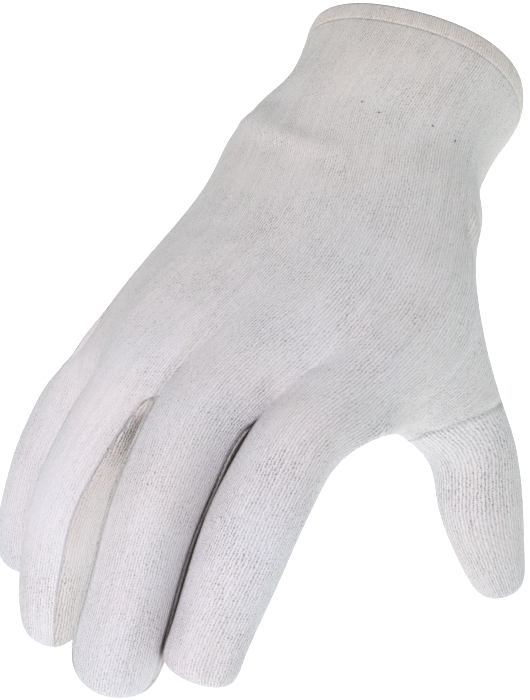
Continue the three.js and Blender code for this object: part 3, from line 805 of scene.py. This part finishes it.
def add_piece(name, points, faces, cloth=None, pulled=None, walls=0):
    """An object from points in millimetres, smooth-shaded except for its last faces, the cut walls."""
    mesh = bpy.data.meshes.new(name)
    mesh.from_pydata([tuple(p) for p in np.asarray(points) * MM], [], faces)
    if cloth is not None:
        layer = mesh.uv_layers.new(name="cloth")
        layer.data.foreach_set("uv", np.asarray(cloth, float).ravel())
    if pulled is not None:
        shares = mesh.attributes.new("pulled", "FLOAT", "POINT")
        shares.data.foreach_set("value", np.asarray(pulled, float))
    mesh.polygons.foreach_set("use_smooth", [True] * (len(faces) - walls) + [False] * walls)
    mesh.update()
    piece = bpy.data.objects.new(name, mesh)
    bpy.context.scene.collection.objects.link(piece)
    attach(piece, "root")
    return piece


def panel_cloth(panel):
    """A panel's points, normals, faces numbered among them, cloth places and how far it is pulled."""
    skin = glove_skin(sizes().wale)
    mine = np.flatnonzero(skin.panel == PANELS.index(panel))
    used, index = np.unique(skin.quads[mine], return_inverse=True)
    quads = index.reshape(-1, 4)
    return skin.points[used], skin.normals[used], quads, skin.cloth[mine], skin.pulled[used]


def drawn_back(points, normals, edges):
    """For each point on an edge, the direction along the cloth that leads away from that edge."""
    back = np.zeros_like(points)
    for a, b in edges:
        run = points[b] - points[a]
        run /= np.linalg.norm(run)
        for end in (a, b):
            back[end] += np.cross(normals[end], run)
    length = np.linalg.norm(back, axis=1)
    on_edge = length > 0
    back[on_edge] /= length[on_edge][:, None]
    return back, on_edge


# Each panel's edge is drawn this far over the solids' gap, so the seam closes, and inside the glove it is
# drawn back and down by the turned-in allowance, all in millimetres.
SEAM_CLOSE = 0.16
INSIDE_BACK = 0.25
INSIDE_DOWN = 0.3


def two_sides(quads, cloth, count):
    """The faces of a wall's outside and inside, their cloth places, and the place of each point.

    The inside has the same points as the outside, numbered from count on.
    """
    faces = [tuple(int(i) for i in q) for q in quads]
    faces += [tuple(i + count for i in face[::-1]) for face in faces]
    corners = [tuple(c) for q in cloth for c in q]
    corners += [tuple(c) for q in cloth for c in q[::-1]]
    at = {int(i): tuple(c) for q, row in zip(quads, cloth) for i, c in zip(q, row)}
    return faces, corners, at


def sewn_panel(name, panel):
    """One panel as a wall of cloth: outside, inside and the edges that are turned in at its seams."""
    points, normals, quads, cloth, pulled = panel_cloth(panel)
    n = len(points)
    faces, corners, at = two_sides(quads, cloth, n)
    edges = cut_edges(quads)
    back, on_edge = drawn_back(points, normals, edges)
    outside = points.copy()
    outside[on_edge] -= back[on_edge] * SEAM_CLOSE + normals[on_edge] * sizes().seam_depth / MM
    inside = points - normals * sizes().cloth / MM
    inside[on_edge] += back[on_edge] * INSIDE_BACK - normals[on_edge] * INSIDE_DOWN
    for a, b in edges:
        faces.append((a, a + n, b + n, b))
        corners += [at[a], at[a], at[b], at[b]]
    return add_piece(name, np.concatenate([outside, inside]), faces, corners, np.tile(pulled, 2), len(edges))


def rolled_hem(name):
    """The cuff's band: double cloth that bulges between its seam and a rounded rim."""
    points, normals, quads, cloth, _ = panel_cloth("cuff_hem")
    n = len(points)
    faces, corners, at = two_sides(quads, cloth, n)
    wall = sizes().hem_cloth / MM
    height = np.array([at[i][1] for i in range(n)]) / HEM_HEIGHT
    edges = cut_edges(quads)
    back, on_edge = drawn_back(points, normals, edges)
    rim = on_edge & (height < 0.5)
    seam = on_edge & (height > 0.5)
    bulge = np.clip(4 * height * (1 - height), 0, 1) * sizes().hem_proud / MM
    middle = points + normals * (bulge - wall / 2)[:, None]
    middle[rim] += back[rim] * wall / 2
    outside = middle + normals * wall / 2
    inside = middle - normals * wall / 2
    outside[seam] -= back[seam] * SEAM_CLOSE + normals[seam] * sizes().seam_depth / MM
    inside[seam] += back[seam] * INSIDE_BACK
    rows = [outside, inside]
    turns = (30, 60, 90, 120, 150)
    for turn in turns:
        c, s = math.cos(math.radians(turn)), math.sin(math.radians(turn))
        rows.append(middle + (normals * c - back * s) * wall / 2)
    chain = [0] + [k + 2 for k in range(len(turns))] + [1]
    seam_edges = [edge for edge in edges if seam[edge[0]]]
    for a, b in [edge for edge in edges if rim[edge[0]]]:
        for step, (near, far) in enumerate(zip(chain, chain[1:])):
            faces.append((a + near * n, a + far * n, b + far * n, b + near * n))
            # Each step of 30 degrees takes up about a quarter of the wall's thickness in cloth.
            up, down = -step * wall / 4, -(step + 1) * wall / 4
            corners += [(at[a][0], up), (at[a][0], down), (at[b][0], down), (at[b][0], up)]
    for a, b in seam_edges:
        faces.append((a, a + n, b + n, b))
        corners += [at[a], at[a], at[b], at[b]]
    return add_piece(name, np.concatenate(rows), faces, corners, walls=len(seam_edges))


def ring_faces(start, rings, sides):
    """The faces that join some rings of points, numbered from start on."""
    faces = []
    for i in range(rings - 1):
        for j in range(sides):
            a = start + i * sides + j
            b = start + i * sides + (j + 1) % sides
            faces.append((a, b, b + sides, a + sides))
    return faces


# A stitch's length over the seam, its lean as it runs on to the next one, how deep its middle lies and
# how much deeper its ends.
STITCH_LENGTH = 1.5
STITCH_LEAN = 0.35
STITCH_SUNK = 0.23
STITCH_BOW = 0.02


def seam_stitches(name, panel, spacing):
    """Short threads across the seams round a panel, joined into one piece."""
    skin = glove_skin(sizes().wale)
    radius = sizes().thread / MM / 2
    points, faces = [], []
    arcs, sides = 5, 5
    for loop in seam_loops(cut_edges(skin.quads[skin.panel == PANELS.index(panel)])):
        path = skin.points[loop + loop[:1]]
        facing = skin.normals[loop + loop[:1]]
        steps = np.linalg.norm(np.diff(path, axis=0), axis=1)
        far = np.concatenate([[0], np.cumsum(steps)])
        for along in np.arange(0, far[-1] - spacing / 2, spacing):
            k = min(int(np.searchsorted(far, along, side="right")) - 1, len(steps) - 1)
            t = (along - far[k]) / steps[k]
            centre = path[k] + (path[k + 1] - path[k]) * t
            up = facing[k] + (facing[k + 1] - facing[k]) * t
            up /= np.linalg.norm(up)
            run = (path[k + 1] - path[k]) / steps[k]
            over = np.cross(up, run)
            over /= np.linalg.norm(over)
            start = len(points)
            for i in range(arcs):
                s = 2 * i / (arcs - 1) - 1
                out = (over + run * STITCH_LEAN) * s * STITCH_LENGTH / 2
                middle = centre + out - up * (STITCH_SUNK + STITCH_BOW * s * s)
                for j in range(sides):
                    angle = 2 * math.pi * j / sides
                    points.append(middle + (run * math.cos(angle) - up * math.sin(angle)) * radius)
            faces += ring_faces(start, arcs, sides)
            faces.append(tuple(start + j for j in reversed(range(sides))))
            faces.append(tuple(start + (arcs - 1) * sides + j for j in range(sides)))
    return add_piece(name, points, faces)


def add(tree, kind, links=None, output=0, **settings):
    """Adds a node with its settings and links, and returns one of its outputs.

    links gives the source of each linked input. Settings name the node's properties, or in_ and an input.
    """
    node = tree.nodes.new("ShaderNode" + kind)
    for key, value in settings.items():
        if key.startswith("in_"):
            socket = key[3:]
            node.inputs[int(socket) if socket.isdigit() else socket.replace("_", " ")].default_value = value
        else:
            setattr(node, key, value)
    for socket, source in (links or {}).items():
        tree.links.new(source, node.inputs[socket])
    return node.outputs[output] if node.outputs else node


# What a Mix node needs to mix colours: its colour output is the third.
RGBA = {"output": 2, "data_type": "RGBA"}


def empty_material(name):
    material = bpy.data.materials.new(name)
    material.use_nodes = True
    material.node_tree.nodes.clear()
    return material, material.node_tree


def cotton_tricot(name, tint, hole_shade, rib_shade, seed, slit=2.5):
    """Bleached cotton tricot, warp knitted from spun yarn in two lapping movements.

    What that gives the eye: fine light ribs along the cloth, between them staggered rows of small dark
    holes, uneven stitches and now and then a thicker yarn, and the dull, soft white of cotton. The ribs
    are 0.8 mm apart, which is nearly too fine to show, so their shade is painted as well as raised.
    hole_shade and rib_shade say how dark the holes and the grooves are, seed gives a panel its own yarns,
    and folds narrower than slit, in millimetres, get a painted shade.
    """
    material, tree = empty_material(name)
    wale = sizes().wale / MM
    repeat = sizes().repeat / MM
    cloth = add(tree, "UVMap", output="UV", uv_map="cloth")
    spot = add(tree, "TexCoord", output="Object")
    across = add(tree, "SeparateXYZ", {0: cloth}, output="X")
    along = add(tree, "SeparateXYZ", {0: cloth}, output="Y")

    # The loops wander: slowly over about 8 mm, and from stitch to stitch over about 1 mm.
    x = add(tree, "Math", {0: across}, operation="DIVIDE", in_1=wale)
    y = add(tree, "Math", {0: along}, operation="DIVIDE", in_1=repeat)
    for scale, sway_across, sway_along in ((125.0, 0.8, 1.2), (900.0, 1.0, 0.8)):
        sway = add(tree, "TexNoise", {"Vector": spot}, output="Color", in_Scale=scale, in_Detail=1.0)
        red = add(tree, "SeparateColor", {0: sway}, output="Red")
        green = add(tree, "SeparateColor", {0: sway}, output="Green")
        x = add(tree, "Math", {0: red, 2: x}, operation="MULTIPLY_ADD", in_1=sway_across)
        y = add(tree, "Math", {0: green, 2: y}, operation="MULTIPLY_ADD", in_1=sway_along)

    # Ribs lie at whole numbers across, and the grooves halfway between them.
    turns = add(tree, "Math", {0: x}, operation="MULTIPLY", in_1=2 * math.pi)
    rib = add(tree, "Math", {0: turns}, operation="COSINE")
    groove = add(tree, "Math", {0: x}, operation="FLOOR")
    in_groove = add(tree, "Math", {0: x}, operation="FRACT")
    from_groove = add(tree, "Math", {0: in_groove}, operation="SUBTRACT", in_1=0.5)

    # Each groove has a large and a small hole in every repeat, a quarter repeat on from the last groove's.
    staggered = add(tree, "Math", {0: groove, 2: y}, operation="MULTIPLY_ADD", in_1=0.25)
    row = add(tree, "Math", {0: staggered}, operation="FLOOR")
    in_row = add(tree, "Math", {0: staggered}, operation="FRACT")
    from_hole = add(tree, "Math", {0: in_row}, operation="SUBTRACT", in_1=0.5)
    between = add(tree, "Math", {0: in_row}, operation="PINGPONG", in_1=0.5)
    squares = []
    for off, reach in ((from_groove, 0.3), (from_hole, 0.24), (between, 0.2)):
        share = add(tree, "Math", {0: off}, operation="DIVIDE", in_1=reach)
        squares.append(add(tree, "Math", {0: share}, operation="POWER", in_1=2.0))
    holes = []
    for square, depth in zip(squares[1:], (1.0, 0.85)):
        away = add(tree, "Math", {0: squares[0], 1: square}, operation="ADD")
        holes.append(add(tree, "Math", {1: away}, operation="SUBTRACT", in_0=depth, use_clamp=True))
    large_hole, small_hole = holes

    # Each large hole has its own size, over 10 to 20 mm the cloth is more or less open, and where it is
    # pulled its holes open further.
    cell = add(tree, "CombineXYZ", {0: groove, 1: row}, in_2=seed)
    chance = add(tree, "TexWhiteNoise", {"Vector": cell}, output="Value")
    patches = add(tree, "TexNoise", {"Vector": spot}, in_Scale=75.0, in_Detail=2.0)
    open_here = add(
        tree, "MapRange", {0: patches},
        in_From_Min=0.35, in_From_Max=0.65, in_To_Min=0.5, in_To_Max=1.1,
    )
    pulled = add(tree, "Attribute", output="Fac", attribute_name="pulled")
    taut = add(tree, "Math", {0: pulled}, operation="ADD", in_1=1.0)
    open_here = add(tree, "Math", {0: open_here, 1: taut}, operation="MULTIPLY")
    own_size = add(tree, "Math", {0: chance}, operation="MULTIPLY_ADD", in_1=1.0, in_2=0.15)
    own_size = add(tree, "Math", {0: own_size, 1: open_here}, operation="MULTIPLY")
    hole = add(tree, "Math", {0: large_hole, 1: own_size}, operation="MULTIPLY")
    small_hole = add(tree, "Math", {0: small_hole, 1: open_here}, operation="MULTIPLY")
    hole = add(tree, "Math", {0: small_hole, 2: hole}, operation="MULTIPLY_ADD", in_1=0.75, use_clamp=True)

    # The loops of a rib slant to one side and the other in turn, and the spun yarn is fuzzy.
    slant = add(tree, "Math", {0: from_groove, 2: y}, operation="MULTIPLY_ADD", in_1=0.7)
    slant = add(tree, "Math", {0: slant}, operation="MULTIPLY", in_1=4 * math.pi)
    loop = add(tree, "Math", {0: slant}, operation="SINE")
    fuzz = add(tree, "TexNoise", {"Vector": spot}, in_Scale=2300.0, in_Detail=3.0)
    height = add(tree, "Math", {0: rib, 1: taut}, operation="MULTIPLY")
    height = add(tree, "Math", {0: height}, operation="MULTIPLY", in_1=0.02)
    for part, rise in ((loop, 0.014), (hole, -0.11), (fuzz, 0.09)):
        height = add(tree, "Math", {0: part, 2: height}, operation="MULTIPLY_ADD", in_1=rise)
    bump = add(tree, "Bump", {"Height": height}, in_Strength=1.0, in_Distance=MM)

    # Bleached cotton is never one white: it shifts between rosy and bluish over a few centimetres, and
    # again a little over a few millimetres.
    broad = add(tree, "TexNoise", {"Vector": spot}, in_Scale=30.0, in_Detail=2.0)
    cast = add(tree, "Mix", {0: broad}, **RGBA, in_6=linear("#fff2ec"), in_7=linear("#eef4ff"))
    base = add(tree, "Mix", {7: cast}, **RGBA, blend_type="MULTIPLY", in_0=0.6, in_6=tint)
    # The cuff and the wrist, which are handled most, are creamier than the fingers.
    length = add(tree, "SeparateXYZ", {0: spot}, output="Y")
    handled = add(
        tree, "MapRange", {0: length},
        in_From_Min=-180 * MM, in_From_Max=-20 * MM, in_To_Min=0.0, in_To_Max=1.0,
    )
    base = add(tree, "Mix", {0: handled, 6: base}, **RGBA, blend_type="MULTIPLY", in_7=linear("#fdfcf3"))
    narrow = add(tree, "TexNoise", {"Vector": spot}, output="Color", in_Scale=330.0, in_Detail=1.0)
    base = add(tree, "Mix", {6: base, 7: narrow}, **RGBA, blend_type="SOFT_LIGHT", in_0=0.16)
    # Thicker and thinner yarns show as faint streaks along the ribs, a few centimetres long.
    streak_place = add(tree, "Math", {0: along}, operation="MULTIPLY", in_1=0.025)
    streak_rib = add(tree, "Math", {0: x}, operation="ROUND")
    streak_spot = add(tree, "CombineXYZ", {0: streak_rib, 1: streak_place}, in_2=seed)
    streak = add(tree, "TexNoise", {"Vector": streak_spot}, in_Scale=1.7, in_Detail=1.0)
    streak = add(tree, "Math", {0: streak}, operation="SUBTRACT", in_1=0.5)
    # Painted shade: the cloth is a little darker between the ribs, and dark where a hole lets the shade
    # through.
    dark = add(tree, "Math", {0: rib}, operation="MULTIPLY_ADD", in_1=-rib_shade, in_2=rib_shade)
    dark = add(tree, "Math", {0: dark, 1: taut}, operation="MULTIPLY")
    dark = add(tree, "Math", {0: streak, 2: dark}, operation="MULTIPLY_ADD", in_1=0.3)
    dark = add(tree, "Math", {0: hole, 2: dark}, operation="MULTIPLY_ADD", in_1=hole_shade, use_clamp=True)
    paint = add(tree, "Mix", {0: dark, 6: base}, **RGBA, in_7=list(colours().shade))
    # In a narrow fold or slit, where ambient occlusion finds walls close by, the cotton is painted darker:
    # painted shade of the slit.
    space = add(tree, "AmbientOcclusion", output="AO", samples=8, in_Distance=slit * MM)
    painted_slit_shade = add(
        tree, "MapRange", {0: space},
        in_From_Min=0.1, in_From_Max=0.45, in_To_Min=0.95, in_To_Max=0.0,
    )
    paint = add(tree, "Mix", {0: painted_slit_shade, 6: paint}, **RGBA, in_7=list(colours().painted_slit_shade))
    shader = add(
        tree, "BsdfPrincipled", {"Base Color": paint, "Normal": bump},
        in_Roughness=0.9, in_IOR=1.5, in_Specular_IOR_Level=0.2,
        in_Sheen_Weight=0.02, in_Sheen_Roughness=0.5,
    )
    add(tree, "OutputMaterial", {"Surface": shader})
    return material


def sewing_thread(name, tint):
    """Spun cotton sewing thread, two plies twisted: matt, with a fine slanting twist."""
    material, tree = empty_material(name)
    spot = add(tree, "TexCoord", output="Object")
    twist = add(tree, "TexWave", {"Vector": spot}, in_Scale=1500.0, in_Distortion=2.0)
    bump = add(tree, "Bump", {"Height": twist}, in_Distance=0.05 * MM)
    shader = add(
        tree, "BsdfPrincipled", {"Normal": bump},
        in_Base_Color=tint, in_Roughness=0.85, in_IOR=1.5, in_Specular_IOR_Level=0.25,
    )
    add(tree, "OutputMaterial", {"Surface": shader})
    return material


def seed_husk(name):
    """Bits of cotton seed husk left in the yarn: dull brown and rough."""
    material, tree = empty_material(name)
    spot = add(tree, "TexCoord", output="Object")
    grain = add(tree, "TexNoise", {"Vector": spot}, in_Scale=3000.0, in_Detail=2.0)
    paint = add(tree, "Mix", {0: grain}, **RGBA, in_6=list(colours().fleck), in_7=linear("#8c7a66"))
    shader = add(
        tree, "BsdfPrincipled", {"Base Color": paint},
        in_Roughness=0.8, in_IOR=1.5, in_Specular_IOR_Level=0.3,
    )
    add(tree, "OutputMaterial", {"Surface": shader})
    return material


# Flecks in the yarn: where they show, in millimetres, and their length. Their width and height are shares
# of it, and each is turned by the same number of radians from the one before.
FLECK_WIDTH = 0.625
FLECK_HEIGHT = 0.4
FLECK_TURN = 2.4
Fleck = namedtuple("Fleck", "x y z size")
FLECKS = [
    Fleck(0, -39, 27, 0.8),
    Fleck(6, -41, 27, 0.9),
    Fleck(21, -38, 22, 0.8),
    Fleck(28, -38, 18, 0.9),
    Fleck(-48, -124, 11, 0.6),
    Fleck(41, -105, 23, 0.6),
]


class GLOVE_OT_hand(bpy.types.Operator):
    """Make the back, the palm and the outer faces of the fingers"""

    bl_idname = "glove.hand"
    bl_label = "Hand"

    def execute(self, context):
        piece = sewn_panel("hand_cloth", "hand_body")
        piece.data.materials.append(cotton_tricot(
            "Cotton tricot", list(colours().cotton), hole_shade=0.6, rib_shade=0.07, seed=1.0,
        ))
        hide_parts("hand_body")
        return {"FINISHED"}


class GLOVE_OT_thumb(bpy.types.Operator):
    """Make the thumb, whose wales run along it"""

    bl_idname = "glove.thumb"
    bl_label = "Thumb"

    def execute(self, context):
        piece = sewn_panel("thumb_cloth", "thumb")
        piece.data.materials.append(cotton_tricot(
            "Cotton tricot, thumb", list(colours().cotton), hole_shade=0.65, rib_shade=0.07, seed=2.0,
        ))
        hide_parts("thumb")
        return {"FINISHED"}


class GLOVE_OT_side_panels(bpy.types.Operator):
    """Make the strips between the fingers"""

    bl_idname = "glove.side_panels"
    bl_label = "Side panels"

    def execute(self, context):
        # Painted shade between the fingers: the side panels' tint is darker than the hand's, their grooves
        # darker, and their slit shade reaches further.
        knit = cotton_tricot(
            "Cotton tricot, side panels", list(colours().side_panel), hole_shade=0.7, rib_shade=0.16,
            seed=3.0, slit=7,
        )
        for fork in FORKS:
            piece = sewn_panel(fork.replace("fourchette", "side_panel"), fork)
            piece.data.materials.append(knit)
            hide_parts(fork)
        return {"FINISHED"}


class GLOVE_OT_hem(bpy.types.Operator):
    """Make the turned-in band at the cuff"""

    bl_idname = "glove.hem"
    bl_label = "Hem"

    def execute(self, context):
        piece = rolled_hem("hem_band")
        piece.data.materials.append(cotton_tricot(
            "Cotton tricot, hem", list(colours().hem), hole_shade=0.7, rib_shade=0.07, seed=4.0,
        ))
        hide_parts("cuff_hem")
        return {"FINISHED"}


class GLOVE_OT_stitches(bpy.types.Operator):
    """Sew the thumb in"""

    bl_idname = "glove.stitches"
    bl_label = "Stitches"

    def execute(self, context):
        thread = sewing_thread("Cotton sewing thread", linear("#f2f0ee"))
        thumb = seam_stitches("thumb_stitches", "thumb", sizes().stitch / MM)
        thumb.data.materials.append(thread)
        return {"FINISHED"}


class GLOVE_OT_flecks(bpy.types.Operator):
    """Put the bits of seed husk on the yarn"""

    bl_idname = "glove.flecks"
    bl_label = "Flecks"

    def execute(self, context):
        skin = glove_skin(sizes().wale)
        tree = BVHTree.FromPolygons(
            [Vector(p) for p in skin.points], [tuple(int(i) for i in q) for q in skin.quads],
        )
        points, faces = [], []
        rings, sides = 5, 6
        for number, fleck in enumerate(FLECKS):
            spot, normal, _, _ = tree.find_nearest(Vector((fleck.x, fleck.y, fleck.z)))
            long = normal.orthogonal().normalized()
            long.rotate(Matrix.Rotation(FLECK_TURN * number, 3, normal))
            axes = (long / 2, normal.cross(long) * FLECK_WIDTH / 2, -normal * FLECK_HEIGHT / 2)
            faces += ring_faces(len(points), rings, sides)
            for i in range(rings):
                polar = math.pi * i / (rings - 1)
                for j in range(sides):
                    turn = 2 * math.pi * j / sides
                    out = axes[1] * math.cos(turn) + axes[2] * math.sin(turn)
                    points.append(spot + (axes[0] * math.cos(polar) + out * math.sin(polar)) * fleck.size)
        piece = add_piece("seed_flecks", points, faces)
        piece.data.materials.append(seed_husk("Cotton seed husk"))
        return {"FINISHED"}


# Half the width of the studio floor, in metres.
FLOOR_HALF = 6.0

# The camera as fitted to the photograph: degrees round and above, its roll, and lengths in millimetres.
CAMERA_ROUND = 33.2
CAMERA_ABOVE = 55.3
CAMERA_ROLL = -12.6
CAMERA_DISTANCE = 689
CAMERA_AIM = (-3.7, -112.4, 0)
CAMERA_LENS = 124


def towards(azimuth, elevation):
    """The direction from the glove to what stands so many degrees round it and above it."""
    a, e = math.radians(azimuth), math.radians(elevation)
    return Vector((math.sin(a) * math.cos(e), -math.cos(a) * math.cos(e), math.sin(e)))


def studio_light(name, size, power, tint, azimuth, elevation, distance, aim):
    """A soft square light that faces a point of the glove."""
    data = bpy.data.lights.new(name, "AREA")
    data.shape = "SQUARE"
    data.size = size
    data.energy = power
    data.color = tint[:3]
    lamp = bpy.data.objects.new(name, data)
    out = towards(azimuth, elevation)
    lamp.location = aim + out * distance
    lamp.rotation_euler = out.to_track_quat("Z", "Y").to_euler()
    bpy.context.scene.collection.objects.link(lamp)


class GLOVE_OT_stage(bpy.types.Operator):
    """Make the floor, the lights and the camera"""

    bl_idname = "glove.stage"
    bl_label = "Studio"

    def execute(self, context):
        scene = context.scene
        low, high = (Vector(corner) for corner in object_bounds())
        middle = (low + high) / 2
        mesh = bpy.data.meshes.new("studio_floor")
        half = FLOOR_HALF
        z = low.z - sizes().floor_drop
        corners = [(-half, -half, z), (half, -half, z), (half, half, z), (-half, half, z)]
        mesh.from_pydata(corners, [], [(0, 1, 2, 3)])
        floor = bpy.data.objects.new("studio_floor", mesh)
        scene.collection.objects.link(floor)
        floor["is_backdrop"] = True
        # The paper glows a little, because the photograph's ground is plain white all over.
        paper, tree = empty_material("White studio paper")
        shader = add(
            tree, "BsdfPrincipled", in_Base_Color=list(colours().floor), in_Roughness=0.9,
            in_Emission_Color=list(colours().floor), in_Emission_Strength=1.03,
        )
        add(tree, "OutputMaterial", {"Surface": shader})
        mesh.materials.append(paper)

        world = bpy.data.worlds.new("Studio")
        world.use_nodes = True
        world.node_tree.nodes.clear()
        sky = add(world.node_tree, "Background", in_Color=linear("#eaf8f6"), in_Strength=0.39)
        add(world.node_tree, "OutputWorld", {"Surface": sky})
        scene.world = world
        studio_light(
            "key_light", size=1.4, power=12.8, tint=linear("#fff0f4"),
            azimuth=0, elevation=62, distance=1.2, aim=middle,
        )

        scene.view_settings.view_transform = "Standard"
        scene.view_settings.look = "None"

        data = bpy.data.cameras.new("camera")
        data.lens = CAMERA_LENS
        data.sensor_width = 36
        data.clip_start = 0.01
        data.clip_end = 20
        camera = bpy.data.objects.new("camera", data)
        scene.collection.objects.link(camera)
        back = towards(CAMERA_ROUND, CAMERA_ABOVE)
        right = towards(CAMERA_ROUND + 90, 0)
        up = back.cross(right)
        roll = math.radians(CAMERA_ROLL)
        across = right * math.cos(roll) + up * math.sin(roll)
        upright = up * math.cos(roll) - right * math.sin(roll)
        turn = Matrix((across, upright, back)).transposed().to_4x4()
        spot = (Vector(CAMERA_AIM) + back * CAMERA_DISTANCE) * MM
        camera.matrix_world = Matrix.Translation(spot) @ turn
        scene.camera = camera
        return {"FINISHED"}


class GLOVE_PT_maker(bpy.types.Panel):
    """Lists the glove's pieces in the order in which they are made"""

    bl_label = "Cotton glove"
    bl_idname = "GLOVE_PT_maker"
    bl_space_type = "VIEW_3D"
    bl_region_type = "UI"
    bl_category = "Glove"

    def draw(self, context):
        layout = self.layout
        for settings in (context.scene.glove_sizes, context.scene.glove_colours):
            box = layout.box()
            for name in type(settings).__annotations__:
                box.prop(settings, name)
        for operator in PIECES:
            layout.operator(operator.bl_idname)


PIECES = (
    GLOVE_OT_hand, GLOVE_OT_thumb, GLOVE_OT_side_panels, GLOVE_OT_hem, GLOVE_OT_stitches,
    GLOVE_OT_flecks, GLOVE_OT_stage,
)
CLASSES = (GloveSizes, GloveColours) + PIECES + (GLOVE_PT_maker,)


def register():
    for cls in CLASSES:
        bpy.utils.register_class(cls)
    bpy.types.Scene.glove_sizes = bpy.props.PointerProperty(type=GloveSizes)
    bpy.types.Scene.glove_colours = bpy.props.PointerProperty(type=GloveColours)


def unregister():
    del bpy.types.Scene.glove_colours
    del bpy.types.Scene.glove_sizes
    for cls in reversed(CLASSES):
        bpy.utils.unregister_class(cls)


def main():
    register()
    bpy.ops.glove.hand()
    bpy.ops.glove.thumb()
    bpy.ops.glove.side_panels()
    bpy.ops.glove.hem()
    bpy.ops.glove.stitches()
    bpy.ops.glove.flecks()
    bpy.ops.glove.stage()


if __name__ == "__main__":
    main()
